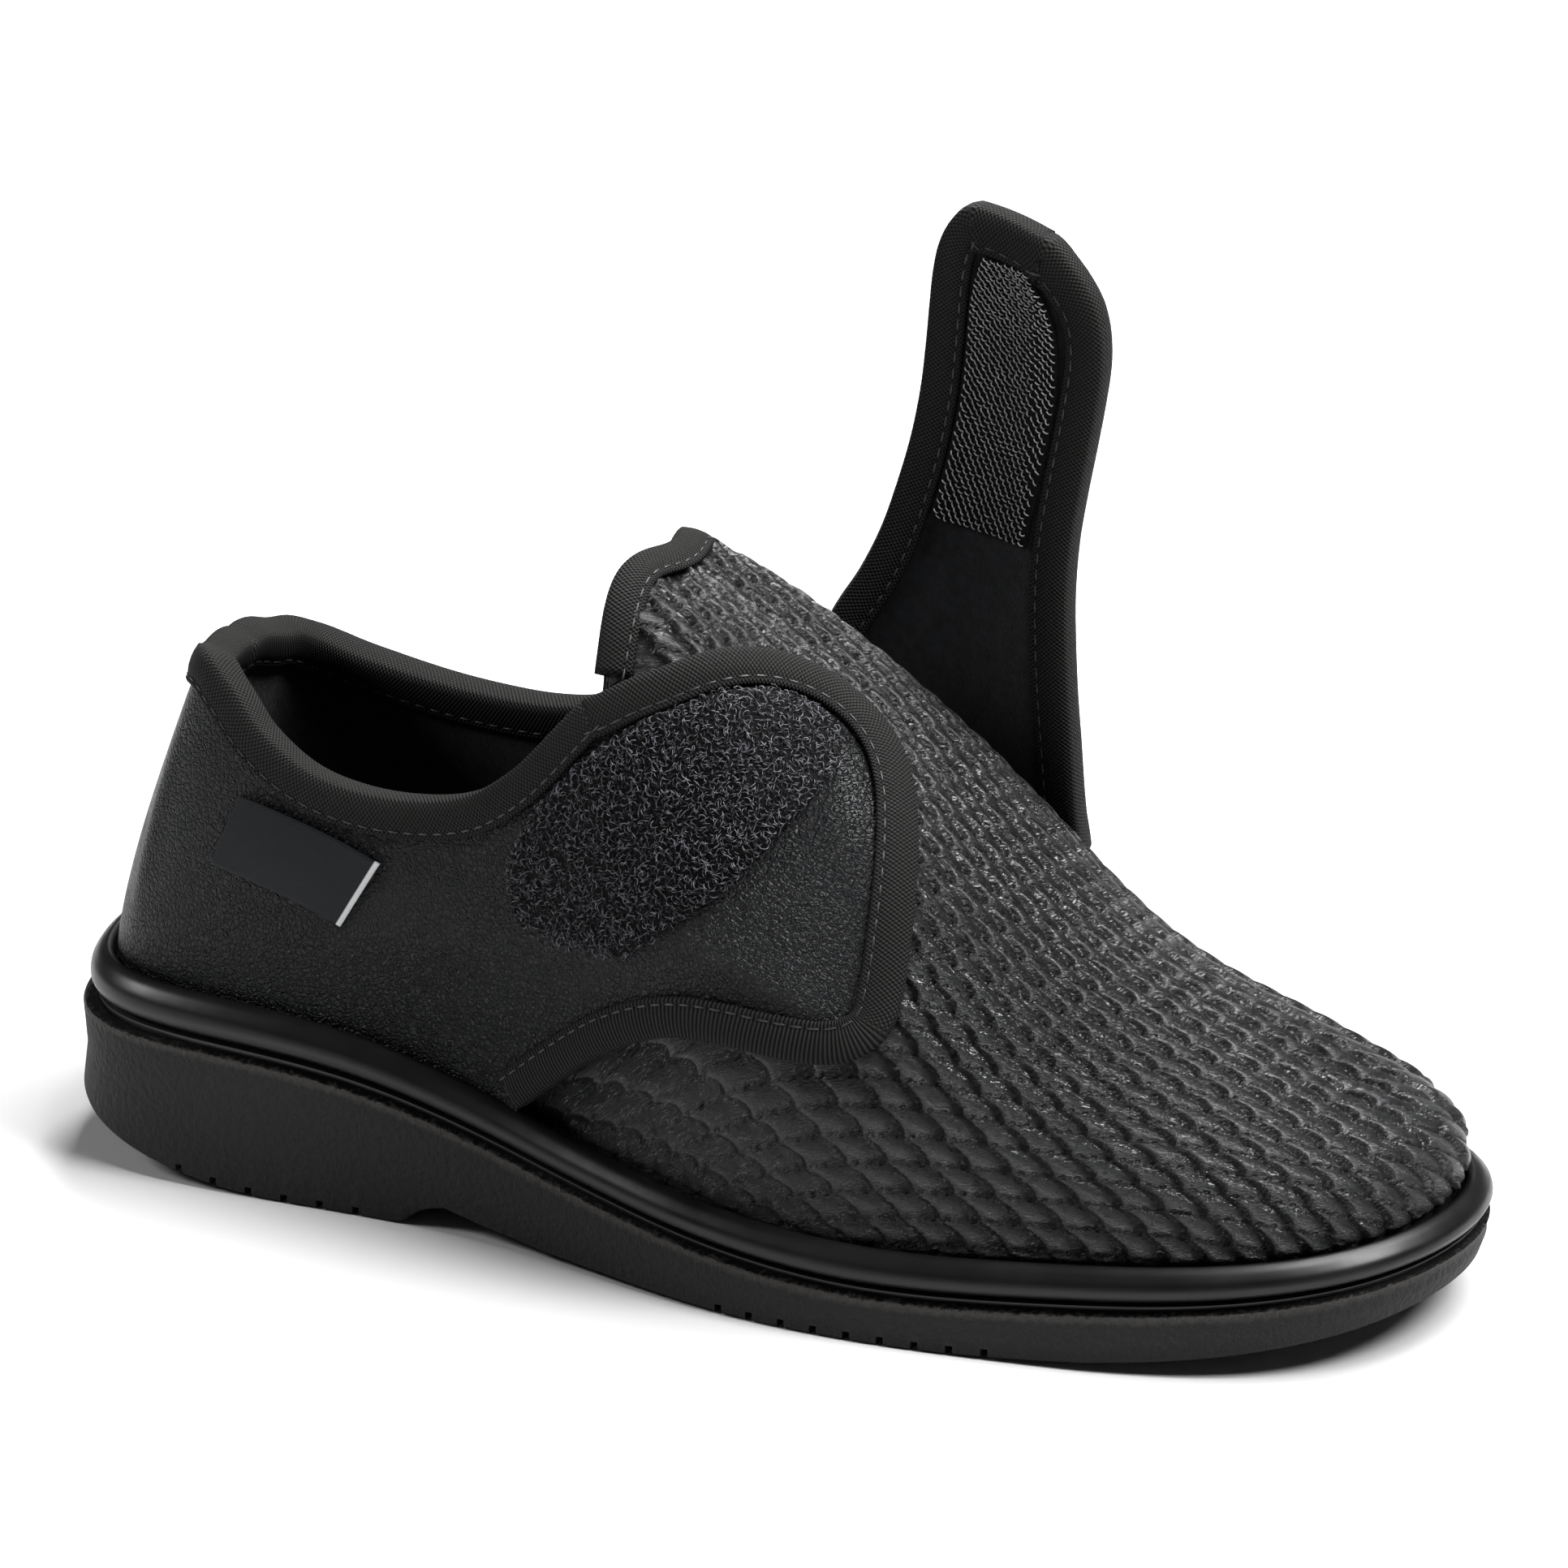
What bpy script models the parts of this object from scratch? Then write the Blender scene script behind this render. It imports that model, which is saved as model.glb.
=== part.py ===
"""Therapeutic shoe for the right foot, closed by a strap over a wide flap.

Modelled empty, standing on its sole, with the strap left open and upright.
Units are metres. +Y runs to the toe, +X to the outer side of the right foot and +Z up.
The origin is the middle of the heel's flat tread, on the floor.
"""
import math

import bmesh
import bpy
import numpy as np

# Overall sizes
SHOE_LENGTH = 0.262
BALL_WIDTH = 0.098
HEEL_WIDTH = 0.070
INSTEP_HEIGHT = 0.132
SOLE_HEIGHT = 0.037

# Sole
TOE_SPRING = 0.0091
HEEL_ROCKER = 0.0118
WAIST_RISE = 0.0046
BEAD_WIDTH = 0.0046
SEAT_DEPTH = 0.0040
TREAD_DEPTH = 0.0017
TREAD_PITCH = 0.0062
TREAD_GROOVE = 0.0020

# Upper and what is sewn on it
UPPER_WALL = 0.0020
LEATHER_THICK = 0.0012
BINDING_WIDTH = 0.0062
BINDING_THICK = 0.0009
FLAP_LIFT = 0.0018
STRAP_HEIGHT = 0.178
STRAP_THICK = 0.0026
PAD_THICK = 0.0012
LABEL_THICK = 0.0006
INSOLE_THICK = 0.0035

# Clearance between two curved pieces, and between pieces cut to one outline
SKIN_GAP = 0.0005
EDGE_GAP = 0.0005

HEEL_REST = 0.235 * SHOE_LENGTH

COLOURS = {
    "sole": ((0.022, 0.022, 0.024), 0.55),
    "insole": ((0.03, 0.03, 0.032), 0.95),
    "upper": ((0.035, 0.035, 0.037), 0.8),
    "quarter": ((0.02, 0.021, 0.024), 0.55),
    "strap": ((0.02, 0.021, 0.024), 0.6),
    "binding": ((0.04, 0.04, 0.04), 0.85),
    "loop": ((0.015, 0.015, 0.015), 0.95),
    "hook": ((0.03, 0.03, 0.03), 0.6),
    "label": ((0.03, 0.03, 0.034), 0.75),
}

# Outline of the sole from heel to toe, one row a knot
# along the length, weight of the heel's width, outer side, inner side (shares of the width)
OUTLINE = [
    (0.000, 1.0, 0.000, 0.000),
    (0.031, 1.0, 0.379, -0.336),
    (0.122, 1.0, 0.514, -0.457),
    (0.248, 1.0, 0.511, -0.450),
    (0.373, 0.5, 0.452, -0.369),
    (0.500, 0.0, 0.469, -0.378),
    (0.628, 0.0, 0.502, -0.469),
    (0.752, 0.0, 0.469, -0.496),
    (0.872, 0.0, 0.403, -0.435),
    (0.965, 0.0, 0.245, -0.291),
    (1.000, 0.0, -0.031, -0.031),
]

# Heights of the sole along its length, as shares of its height at the heel
# along the length, top of the textured wall, top of the bead
SOLE_HEIGHTS = [
    (0.000, 0.730, 1.000),
    (0.229, 0.649, 0.905),
    (0.420, 0.378, 0.595),
    (0.630, 0.222, 0.441),
    (0.821, 0.284, 0.495),
    (1.000, 0.419, 0.608),
]

# Rise of the tread under the waist: along the length, share of the rise
WAIST = [(0.284, 0.0), (0.300, 0.7), (0.318, 1.0), (0.350, 0.62), (0.400, 0.28),
         (0.480, 0.14), (0.540, 0.03), (0.575, 0.0)]

# The last above the bead, one row a knot of the outline, from heel to toe
# ridge: across (share of ball width), along (length), height (instep), fullness, bulge (mm)
RIDGE = [
    (0.000, 0.191, 1.000, 1.24, 0.0),
    (0.000, 0.191, 1.000, 1.36, 0.0),
    (0.000, 0.198, 1.000, 1.85, 0.6),
    (0.000, 0.237, 1.000, 2.15, 1.0),
    (0.000, 0.321, 0.982, 2.20, 1.0),
    (-0.010, 0.431, 0.896, 2.45, 1.0),
    (-0.020, 0.576, 0.726, 2.05, 1.0),
    (-0.031, 0.737, 0.455, 2.00, 1.2),
    (-0.041, 0.855, 0.347, 2.05, 1.6),
    (-0.046, 0.901, 0.298, 2.10, 2.0),
    (-0.046, 0.901, 0.298, 2.10, 2.0),
]

# Top edge of the upper: knot, share of the way up the last on the outer and the inner side
COLLAR = [
    (0.00, 0.498, 0.498), (0.67, 0.496, 0.482), (1.33, 0.480, 0.436), (1.67, 0.458, 0.394),
    (2.00, 0.412, 0.352), (2.33, 0.343, 0.320), (2.67, 0.290, 0.297), (3.00, 0.272, 0.289),
    (3.33, 0.280, 0.296), (3.67, 0.311, 0.321), (4.00, 0.370, 0.370), (4.33, 0.458, 0.448),
    (4.50, 0.512, 0.512), (4.56, 0.620, 0.620), (4.59, 0.678, 0.678), (4.63, 0.733, 0.733),
    (4.68, 0.787, 0.787), (4.74, 0.838, 0.838), (4.80, 0.883, 0.883), (4.87, 0.930, 0.930),
    (4.95, 1.000, 1.000),
]
THROAT = 12

# Front of the outer quarter, which ends in the flap: knot, lower edge, upper edge
FLAP = [
    (4.00, 0.010, 0.370), (4.33, 0.062, 0.458), (4.56, 0.094, 0.524), (4.74, 0.117, 0.571),
    (4.94, 0.140, 0.630), (5.15, 0.163, 0.708), (5.33, 0.181, 0.772), (5.55, 0.203, 0.832),
    (5.75, 0.226, 0.864), (5.93, 0.251, 0.862), (6.05, 0.275, 0.832), (6.13, 0.300, 0.780),
    (6.19, 0.328, 0.700), (6.23, 0.360, 0.610), (6.25, 0.405, 0.520),
]

# How far the flap has left the upper: knot, share of its lift
LIFT = [(3.33, 0.0), (3.67, 0.45), (4.00, 1.0)]

# Front of the inner quarter, which the strap is sewn on: knot, lower edge, upper edge
INNER_FRONT = [
    (4.00, 0.018, 0.368), (4.33, 0.072, 0.446), (4.56, 0.105, 0.500), (4.94, 0.150, 0.470),
    (5.33, 0.190, 0.425), (5.67, 0.220, 0.420), (6.00, 0.265, 0.430), (6.15, 0.320, 0.430),
]

# Strap, from its sewn end up to its tip
# height of the rear edge, rear edge, front edge along the length, height of the front edge
STRAP = [
    (0.325, 0.472, 0.656, 0.325), (0.360, 0.470, 0.656, 0.360), (0.400, 0.469, 0.656, 0.400),
    (0.450, 0.468, 0.655, 0.450), (0.510, 0.472, 0.652, 0.510), (0.560, 0.484, 0.650, 0.560),
    (0.605, 0.502, 0.649, 0.610), (0.650, 0.516, 0.651, 0.665), (0.700, 0.527, 0.656, 0.715),
    (0.750, 0.536, 0.662, 0.765), (0.800, 0.542, 0.667, 0.810), (0.845, 0.545, 0.670, 0.848),
    (0.888, 0.547, 0.669, 0.880), (0.922, 0.549, 0.664, 0.907), (0.950, 0.553, 0.655, 0.929),
    (0.972, 0.561, 0.644, 0.948), (0.986, 0.573, 0.631, 0.966),
]
STRAP_LEAVES = 0.365
STRAP_ROOT_END = 0.625

# Loop pad on the flap, by knot and share of the way up the last: knot, lower edge, upper edge
LOOP_PAD = [
    (3.97, 0.205, 0.262), (4.12, 0.190, 0.325), (4.33, 0.190, 0.382), (4.56, 0.196, 0.448),
    (4.78, 0.212, 0.510), (5.02, 0.268, 0.585), (5.24, 0.335, 0.662), (5.44, 0.420, 0.725),
    (5.62, 0.520, 0.762), (5.76, 0.620, 0.765), (5.83, 0.690, 0.740),
]

# Label under the collar, its rear and front ends
# knot and share at the lower corner, knot and share at the upper corner
LABEL = [(2.08, 0.176, 2.24, 0.262), (2.89, 0.112, 3.12, 0.196)]

KNOTS = len(OUTLINE) - 1
ROUND = 2 * KNOTS


def look(name):
    """One plain material for each kind of piece."""
    if name in bpy.data.materials:
        return bpy.data.materials[name]
    colour, rough = COLOURS[name]
    mat = bpy.data.materials.new(name)
    mat.use_nodes = True
    node = mat.node_tree.nodes["Principled BSDF"]
    node.inputs["Base Color"].default_value = (*colour, 1.0)
    node.inputs["Roughness"].default_value = rough
    return mat


def smooth_table(x, xs, ys):
    """Read a table with soft joins between its rows."""
    xs, ys = np.array(xs, float), np.array(ys, float)
    x = np.clip(np.asarray(x, float), xs[0], xs[-1])
    slope = np.gradient(ys, xs)
    i = np.clip(np.searchsorted(xs, x, side="right") - 1, 0, len(xs) - 2)
    w = xs[i + 1] - xs[i]
    t = (x - xs[i]) / w
    return ((1 + 2 * t) * (1 - t) ** 2 * ys[i] + t * (1 - t) ** 2 * w * slope[i]
            + t * t * (3 - 2 * t) * ys[i + 1] + t * t * (t - 1) * w * slope[i + 1])


def column(rows, k):
    return [row[k] for row in rows]


def outline_points():
    """The outline's knots, up the outer side and back down the inner side."""
    pts = []
    for side, rows in ((2, OUTLINE), (3, OUTLINE[-2:0:-1])):
        for row in rows:
            width = HEEL_WIDTH * row[1] + BALL_WIDTH * (1 - row[1])
            pts.append((width * row[side], SHOE_LENGTH * row[0] - HEEL_REST))
    return np.array(pts)


LOOP = outline_points()
_n = len(LOOP)
_bend = 4 * np.eye(_n) + np.roll(np.eye(_n), 1, 0) + np.roll(np.eye(_n), -1, 0)
BEND = np.linalg.solve(_bend, 6 * (np.roll(LOOP, -1, 0) - 2 * LOOP + np.roll(LOOP, 1, 0)))


def outline(c, slope=False):
    """Point (or slope) of the outline at knot c, by a closed cubic spline."""
    c = np.asarray(c, float) % ROUND
    i = np.floor(c).astype(int) % ROUND
    t = (c - np.floor(c))[..., None]
    j = (i + 1) % ROUND
    if slope:
        return LOOP[j] - LOOP[i] + (1 - 3 * (1 - t) ** 2) / 6 * BEND[i] - (1 - 3 * t ** 2) / 6 * BEND[j]
    return (LOOP[i] * (1 - t) + LOOP[j] * t - ((1 - t) - (1 - t) ** 3) / 6 * BEND[i]
            - (t - t ** 3) / 6 * BEND[j])


def outward(c):
    d = outline(c, slope=True)
    d = d / np.linalg.norm(d, axis=-1, keepdims=True)
    return np.stack([d[..., 1], -d[..., 0]], -1)


def along(y):
    return (y + HEEL_REST) / SHOE_LENGTH


def ledge_height(y):
    return SOLE_HEIGHT * smooth_table(along(y), column(SOLE_HEIGHTS, 0), column(SOLE_HEIGHTS, 1))


def bead_height(y):
    return SOLE_HEIGHT * smooth_table(along(y), column(SOLE_HEIGHTS, 0), column(SOLE_HEIGHTS, 2))


def tread_height(y):
    """Underside: rounded up at the heel, flat, hollow at the waist, flat, sprung at the toe."""
    a = along(y)
    toe = TOE_SPRING * np.clip((a - 0.668) / 0.332, 0, 1) ** 2
    heel = HEEL_ROCKER * np.clip((0.195 - a) / 0.195, 0, 1) ** 2
    waist = WAIST_RISE * np.interp(a, column(WAIST, 0), column(WAIST, 1))
    return toe + heel + waist


def last(c, h):
    """Outer face of the upper: arcs that rise from inside the bead to the ridge of the last."""
    c, h = np.broadcast_arrays(np.asarray(c, float), np.asarray(h, float))
    k = np.minimum(c % ROUND, ROUND - c % ROUND)
    rows = np.arange(KNOTS + 1)
    rear = np.clip((4.6 - k) / 0.8, 0, 1) * (LEATHER_THICK + SKIN_GAP)
    foot = outline(c) - outward(c) * (BEAD_WIDTH + rear)[..., None]
    base = bead_height(outline(c)[..., 1])
    on = np.minimum(k, KNOTS - 1)
    ridge = np.stack([BALL_WIDTH * smooth_table(on, rows, column(RIDGE, 0)),
                      SHOE_LENGTH * smooth_table(on, rows, column(RIDGE, 1)) - HEEL_REST], -1)
    top = INSTEP_HEIGHT * smooth_table(on, rows, column(RIDGE, 2))
    power = 2 / smooth_table(k, rows, column(RIDGE, 3))
    bulge = 0.001 * smooth_table(k, rows, column(RIDGE, 4))
    angle = np.clip(h, 0, 1) * math.pi / 2
    reach = np.maximum(np.cos(angle), 0) ** power
    flat = ridge + (foot - ridge) * reach[..., None]
    flat = flat + outward(c) * (bulge * np.sin(2 * angle))[..., None]
    z = base + (top - base) * np.sin(angle) ** power + np.minimum(h, 0) * SEAT_DEPTH
    return np.concatenate([flat, z[..., None]], -1)


def lifted(surface, a, b, lift):
    """Point of a surface moved out along its normal."""
    a, b = np.broadcast_arrays(np.asarray(a, float), np.asarray(b, float))
    e = 0.02
    b1 = np.clip(b, 0.012, 0.97)
    da = surface(a + e, b1) - surface(a - e, b1)
    db = surface(a, b1 + 0.008) - surface(a, b1 - 0.008)
    n = np.cross(da, db)
    n = n / np.linalg.norm(n, axis=-1, keepdims=True)
    return surface(a, b) + n * np.asarray(lift)[..., None]


def inner_side(y, z):
    """Where the inner side of the last is, at a place along the shoe and a height."""
    y, z = np.broadcast_arrays(np.asarray(y, float), np.asarray(z, float))
    c, h = np.full(y.shape, 14.6), np.full(y.shape, 0.35)
    for _ in range(14):
        p = last(c, h)
        pc, ph = (last(c + 0.01, h) - p) / 0.01, (last(c, h + 0.005) - p) / 0.005
        ry, rz = y - p[..., 1], z - p[..., 2]
        det = pc[..., 1] * ph[..., 2] - pc[..., 2] * ph[..., 1]
        c = np.clip(c + (ry * ph[..., 2] - rz * ph[..., 1]) / det, 12.5, 16.5)
        h = np.clip(h + (pc[..., 1] * rz - pc[..., 2] * ry) / det, 0.02, 0.9)
    return last(c, h)[..., 0]


def strap_face(t, s):
    """Inner face of the strap: t runs from its rear edge to its front edge, s up its rows."""
    t, s = np.broadcast_arrays(np.asarray(t, float), np.asarray(s, float))
    rows = np.arange(len(STRAP))
    row = s * (len(STRAP) - 1)
    rear = SHOE_LENGTH * smooth_table(row, rows, column(STRAP, 1)) - HEEL_REST
    front = SHOE_LENGTH * smooth_table(row, rows, column(STRAP, 2)) - HEEL_REST
    z0 = STRAP_HEIGHT * smooth_table(row, rows, column(STRAP, 0))
    z1 = STRAP_HEIGHT * smooth_table(row, rows, column(STRAP, 3))
    y = rear * (1 - t) + front * t
    z = z0 * (1 - t) + z1 * t + 0.10 * (front - rear) * t * (1 - t) * np.clip((s - 0.8) / 0.2, 0, 1)
    leave = STRAP_HEIGHT * STRAP_LEAVES
    root = np.minimum(y, SHOE_LENGTH * STRAP_ROOT_END - HEEL_REST)
    held = inner_side(root, np.minimum(z, leave))
    step = inner_side(root, np.full(y.shape, leave)) - inner_side(root, np.full(y.shape, leave - 0.004))
    free = np.maximum(z - leave, 0)
    bend = 0.012
    x = held + step / 0.004 * bend * (1 - np.exp(-free / bend)) - 0.045 * free
    clear = 2 * SKIN_GAP + LEATHER_THICK + BINDING_THICK + EDGE_GAP
    return np.stack([x - clear, y, z], -1)


def make(name, verts, faces, kind, weld=False):
    mesh = bpy.data.meshes.new(name)
    mesh.from_pydata([tuple(v) for v in verts], [], faces)
    obj = bpy.data.objects.new(name, mesh)
    SHOE.objects.link(obj)
    mesh.materials.append(look(kind))
    bm = bmesh.new()
    bm.from_mesh(mesh)
    if weld:
        bmesh.ops.remove_doubles(bm, verts=bm.verts, dist=0.00002)
    bmesh.ops.recalc_face_normals(bm, faces=bm.faces)
    bm.to_mesh(mesh)
    bm.free()
    mesh.shade_smooth()
    mesh.set_sharp_from_angle(angle=math.radians(40))
    return obj


def solidify(obj, thick, offset):
    mod = obj.modifiers.new("wall", "SOLIDIFY")
    mod.thickness = thick
    mod.offset = offset
    mod.use_even_offset = True
    mod.use_quality_normals = True
    return obj


def face_out(obj, way):
    """Turn an open sheet so that its normals point the given way at its first face."""
    bm = bmesh.new()
    bm.from_mesh(obj.data)
    bm.faces.ensure_lookup_table()
    f = bm.faces[len(bm.faces) // 2]
    if f.normal.dot(way(f.calc_center_median())) < 0:
        bmesh.ops.reverse_faces(bm, faces=bm.faces)
    bm.to_mesh(obj.data)
    bm.free()
    return obj


def sheet(name, grid, kind, thick, offset, way, weld=False):
    """A wall of even thickness on a net of points (rows of equal length)."""
    grid = np.array(grid)
    m, n = grid.shape[:2]
    faces = [(i * n + j, (i + 1) * n + j, (i + 1) * n + j + 1, i * n + j + 1)
             for i in range(m - 1) for j in range(n - 1)]
    obj = face_out(make(name, grid.reshape(-1, 3), faces, kind, weld), way)
    return solidify(obj, thick, offset)


def rings(name, loops, kind, cap_start, cap_end):
    """A closed loft through equal loops; a cap is a ladder across its loop."""
    n = len(loops[0])
    verts = np.concatenate(loops)
    faces = [(r * n + i, r * n + (i + 1) % n, (r + 1) * n + (i + 1) % n, (r + 1) * n + i)
             for r in range(len(loops) - 1) for i in range(n)]
    for first, wanted in ((0, cap_start), ((len(loops) - 1) * n, cap_end)):
        if wanted:
            faces += ladder(first, n)
    return make(name, verts, faces, kind)


def ladder(first, n):
    """Fill a loop by rungs between point i and point n - i."""
    faces = [(first, first + 1, first + n - 1), (first + n // 2 - 1, first + n // 2, first + n // 2 + 1)]
    faces += [(first + i, first + i + 1, first + n - i - 1, first + n - i) for i in range(1, n // 2 - 1)]
    return faces


def binding(name, surface, path, low, high, into=1.0, folded=True):
    """A tape along an edge of a surface; low and high give the offsets of its inner faces.

    It is folded over the edge, or, where nothing fits behind the edge, only turned down over it.
    """
    path = np.array(path, float)
    a, b = path[:, 0], path[:, 1]
    edge = surface(a, b)
    way = np.gradient(edge, axis=0)
    way = way / np.linalg.norm(way, axis=1, keepdims=True)
    e = 0.01
    b1 = np.clip(b, 0.02, 0.96)
    da = (surface(a + e, b1) - surface(a - e, b1)) / (2 * e)
    db = (surface(a, b1 + e) - surface(a, b1 - e)) / (2 * e)
    n = np.cross(da, db)
    n = n / np.linalg.norm(n, axis=1, keepdims=True)
    inward = np.cross(way, n) * into

    def inside(d):
        """Point of the surface that lies d in from the edge, reached in short steps."""
        a2, b2 = a.copy(), b.copy()
        for _ in range(8):
            b3 = np.clip(b2, 0.02, 0.96)
            jac = np.stack([(surface(a2 + e, b3) - surface(a2 - e, b3)) / (2 * e),
                            (surface(a2, b3 + e) - surface(a2, b3 - e)) / (2 * e)], -1)
            step = np.stack([np.linalg.lstsq(m, v * d / 8, rcond=None)[0] for m, v in zip(jac, inward)])
            a2, b2 = a2 + step[:, 0], np.clip(b2 + step[:, 1], 0.0, 0.999)
        return a2, b2

    g, t, width = EDGE_GAP, BINDING_THICK, BINDING_WIDTH
    loops = []
    outer = [(width, high, t), (width * 0.45, high, t), (-g - t * 0.6, high, t * 0.7),
             (-g - t * 0.6, low, -t * 0.7), (width * 0.45, low, -t), (width, low, -t)]
    inner = [(width, high, 0), (width * 0.45, high, 0), (-g, high, 0),
             (-g, low, 0), (width * 0.45, low, 0), (width, low, 0)]
    if not folded:
        outer = outer[:3] + [(-g - t * 0.6, low, 0)]
        inner = inner[:4]
    for d, face, o in outer + inner[::-1]:
        a2, b2 = inside(d) if d > 0 else (a, b)
        off = np.array([face(k) for k in a2]) + o
        if d > 0:
            loops.append(lifted(surface, a2, b2, off))
        else:
            loops.append(edge + inward * d + n * off[:, None])
    loops = np.array(loops)
    m, k = len(a), len(loops)
    verts = loops.transpose(1, 0, 2).reshape(-1, 3)
    faces = [(s * k + i, s * k + (i + 1) % k, (s + 1) * k + (i + 1) % k, (s + 1) * k + i)
             for s in range(m - 1) for i in range(k)]
    for s in (0, m - 1):
        faces += [(s * k + i, s * k + i + 1, s * k + k - 2 - i, s * k + k - 1 - i) for i in range(k // 2 - 1)]
    return make(name, verts, faces, "binding")


def cut(obj, cutter):
    mod = obj.modifiers.new("cut", "BOOLEAN")
    mod.operation = "DIFFERENCE"
    mod.object = cutter
    cutter.hide_render = True
    cutter.display_type = "WIRE"


for old in list(bpy.data.objects):
    bpy.data.objects.remove(old, do_unlink=True)
SHOE = bpy.data.collections.new("therapeutic_shoe")
CUTTERS = bpy.data.collections.new("cutters")
for group in (SHOE, CUTTERS):
    bpy.context.scene.collection.children.link(group)


def build_sole():
    """Moulded unit: tread, textured wall, ledge, lip, groove, fat bead and the recessed seat."""
    c = np.arange(72) * ROUND / 72
    base, n = outline(c), outward(c)
    y = base[:, 1]
    toe_in = 0.0026 * np.clip((along(y) - 0.8) / 0.2, 0, 1)
    heel_out = 0.0018 * np.clip((0.12 - along(y)) / 0.12, 0, 1)
    flare = 0.0013 - toe_in + heel_out * 0.6
    low, ledge, top = tread_height(y), ledge_height(y), bead_height(y)
    rise = top - ledge
    # offset from the outline, height
    profile = [
        (flare - 0.004, low), (flare - 0.0008, low), (flare, low + 0.0009),
        (0.0004 - toe_in * 0.3 + heel_out, ledge - 0.0008), (-0.0004 + heel_out, ledge),
        (-0.0014, ledge + 0.0002),
        (-0.0010, ledge + 0.16 * rise), (-0.0020, ledge + 0.22 * rise),
        (-0.0002, ledge + 0.32 * rise), (0.0006, ledge + 0.50 * rise), (0.0002, ledge + 0.72 * rise),
        (-0.0012, ledge + 0.92 * rise), (-0.0028, top + 0.0002),
        (EDGE_GAP - BEAD_WIDTH, top - 0.0006), (EDGE_GAP - BEAD_WIDTH, top - SEAT_DEPTH),
    ]
    loops = [np.concatenate([base + n * np.broadcast_to(off, y.shape)[:, None], z[:, None]], 1)
             for off, z in profile]
    sole = rings("sole", loops, "sole", True, True)
    # Cross grooves of the tread: six under the heel, nine under the forefoot
    bm = bmesh.new()
    for start, count, pitch in ((0.115, 6, TREAD_PITCH * 1.15), (0.545, 9, TREAD_PITCH)):
        for i in range(count):
            y0 = start * SHOE_LENGTH - HEEL_REST + i * pitch
            floor = float(tread_height(np.array(y0)))
            made = bmesh.ops.create_cube(bm, size=1.0)["verts"]
            for v in made:
                v.co = (v.co.x * BALL_WIDTH * 1.3, y0 + v.co.y * TREAD_GROOVE,
                        floor + TREAD_DEPTH - 0.005 + v.co.z * 0.010)
    mesh = bpy.data.meshes.new("tread_grooves")
    bm.to_mesh(mesh)
    bm.free()
    cutter = bpy.data.objects.new("tread_grooves", mesh)
    CUTTERS.objects.link(cutter)
    cut(sole, cutter)


def build_insole():
    """Loose footbed on the seat, inside the upper's wall."""
    c = np.arange(60) * ROUND / 60
    base, n = outline(c), outward(c)
    seat = bead_height(base[:, 1]) - SEAT_DEPTH
    edge = BEAD_WIDTH + LEATHER_THICK + UPPER_WALL + 3 * SKIN_GAP
    low, high = seat + SKIN_GAP, seat + SKIN_GAP + INSOLE_THICK
    loops = [np.concatenate([base - n * off, z[:, None]], 1) for off, z in
             ((edge, low), (edge, high - 0.001), (edge + 0.0012, high))]
    rings("insole", loops, "insole", True, True)


def upper_columns():
    c = sorted(set([round(i / 3, 4) for i in range(14)] + column(COLLAR, 0)[THROAT:]
                   + [5.33, 5.75] + [round(6.25 + i / 2, 4) for i in range(8)]))
    c = [v for v in c if not 4.34 < v < 4.49]
    return [v for v in c if v < KNOTS] + [KNOTS] + [ROUND - v for v in reversed(c) if 0 < v < KNOTS] + [ROUND]


def up_to(low, high, count):
    """Shares up the last, closer together where it curves over towards the ridge."""
    u = np.linspace(0, 1, count)
    return low + (high - low) * (u + 0.35 * u * (1 - u))


def collar_share(c):
    side = 1 if c <= KNOTS else 2
    return float(np.interp(min(c, ROUND - c), column(COLLAR, 0), column(COLLAR, side)))


def build_upper():
    """Vamp, tongue and lined rear in one wall, open at the collar and under the foot."""
    grid = []
    for c in upper_columns():
        top = collar_share(c)
        shares = [-0.88, 0.0] + list(up_to(0.0, top, 11)[1:])
        grid.append(last(np.full(len(shares), c), np.array(shares)))
    grid[-1] = grid[0]
    centre = (0.0, 0.05, 0.04)
    sheet("upper", grid, "upper", UPPER_WALL, -1.0,
          lambda p: p - type(p)(centre), weld=True)


def quarter_lift(c, reach):
    """The rear lies on the upper; the free front stands off it."""
    return SKIN_GAP + reach * float(np.interp(min(c, ROUND - c), column(LIFT, 0), column(LIFT, 1)))


def quarter_grid(front, side, reach):
    cols = [v for v in upper_columns() if v <= 3.7] + column(front, 0)
    grid = []
    for k in cols:
        c = k if side == 1 else ROUND - k
        if k < 4.0:
            low, high = (-0.5 if k < 3.5 else 0.014), collar_share(c)
        else:
            row = front[column(front, 0).index(k)]
            low, high = row[1], row[2]
        if k == 0:
            c = (0.012 if side == 1 else ROUND - 0.012)
        shares = np.concatenate([[low], up_to(max(low, 0.0) + 0.02, high, 9)])
        grid.append(lifted(last, np.full(10, c), shares, np.full(10, quarter_lift(c, reach))))
    return grid


def build_quarters():
    out = lambda p: type(p)((p.x, 0.0, 0.0)) if abs(p.x) > 0.01 else type(p)((0, -1, 0))
    sheet("outer_quarter", quarter_grid(FLAP, 1, FLAP_LIFT), "quarter", LEATHER_THICK, 1.0, out)
    sheet("inner_quarter", quarter_grid(INNER_FRONT, 2, 0.0), "quarter", LEATHER_THICK, 1.0, out)


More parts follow.
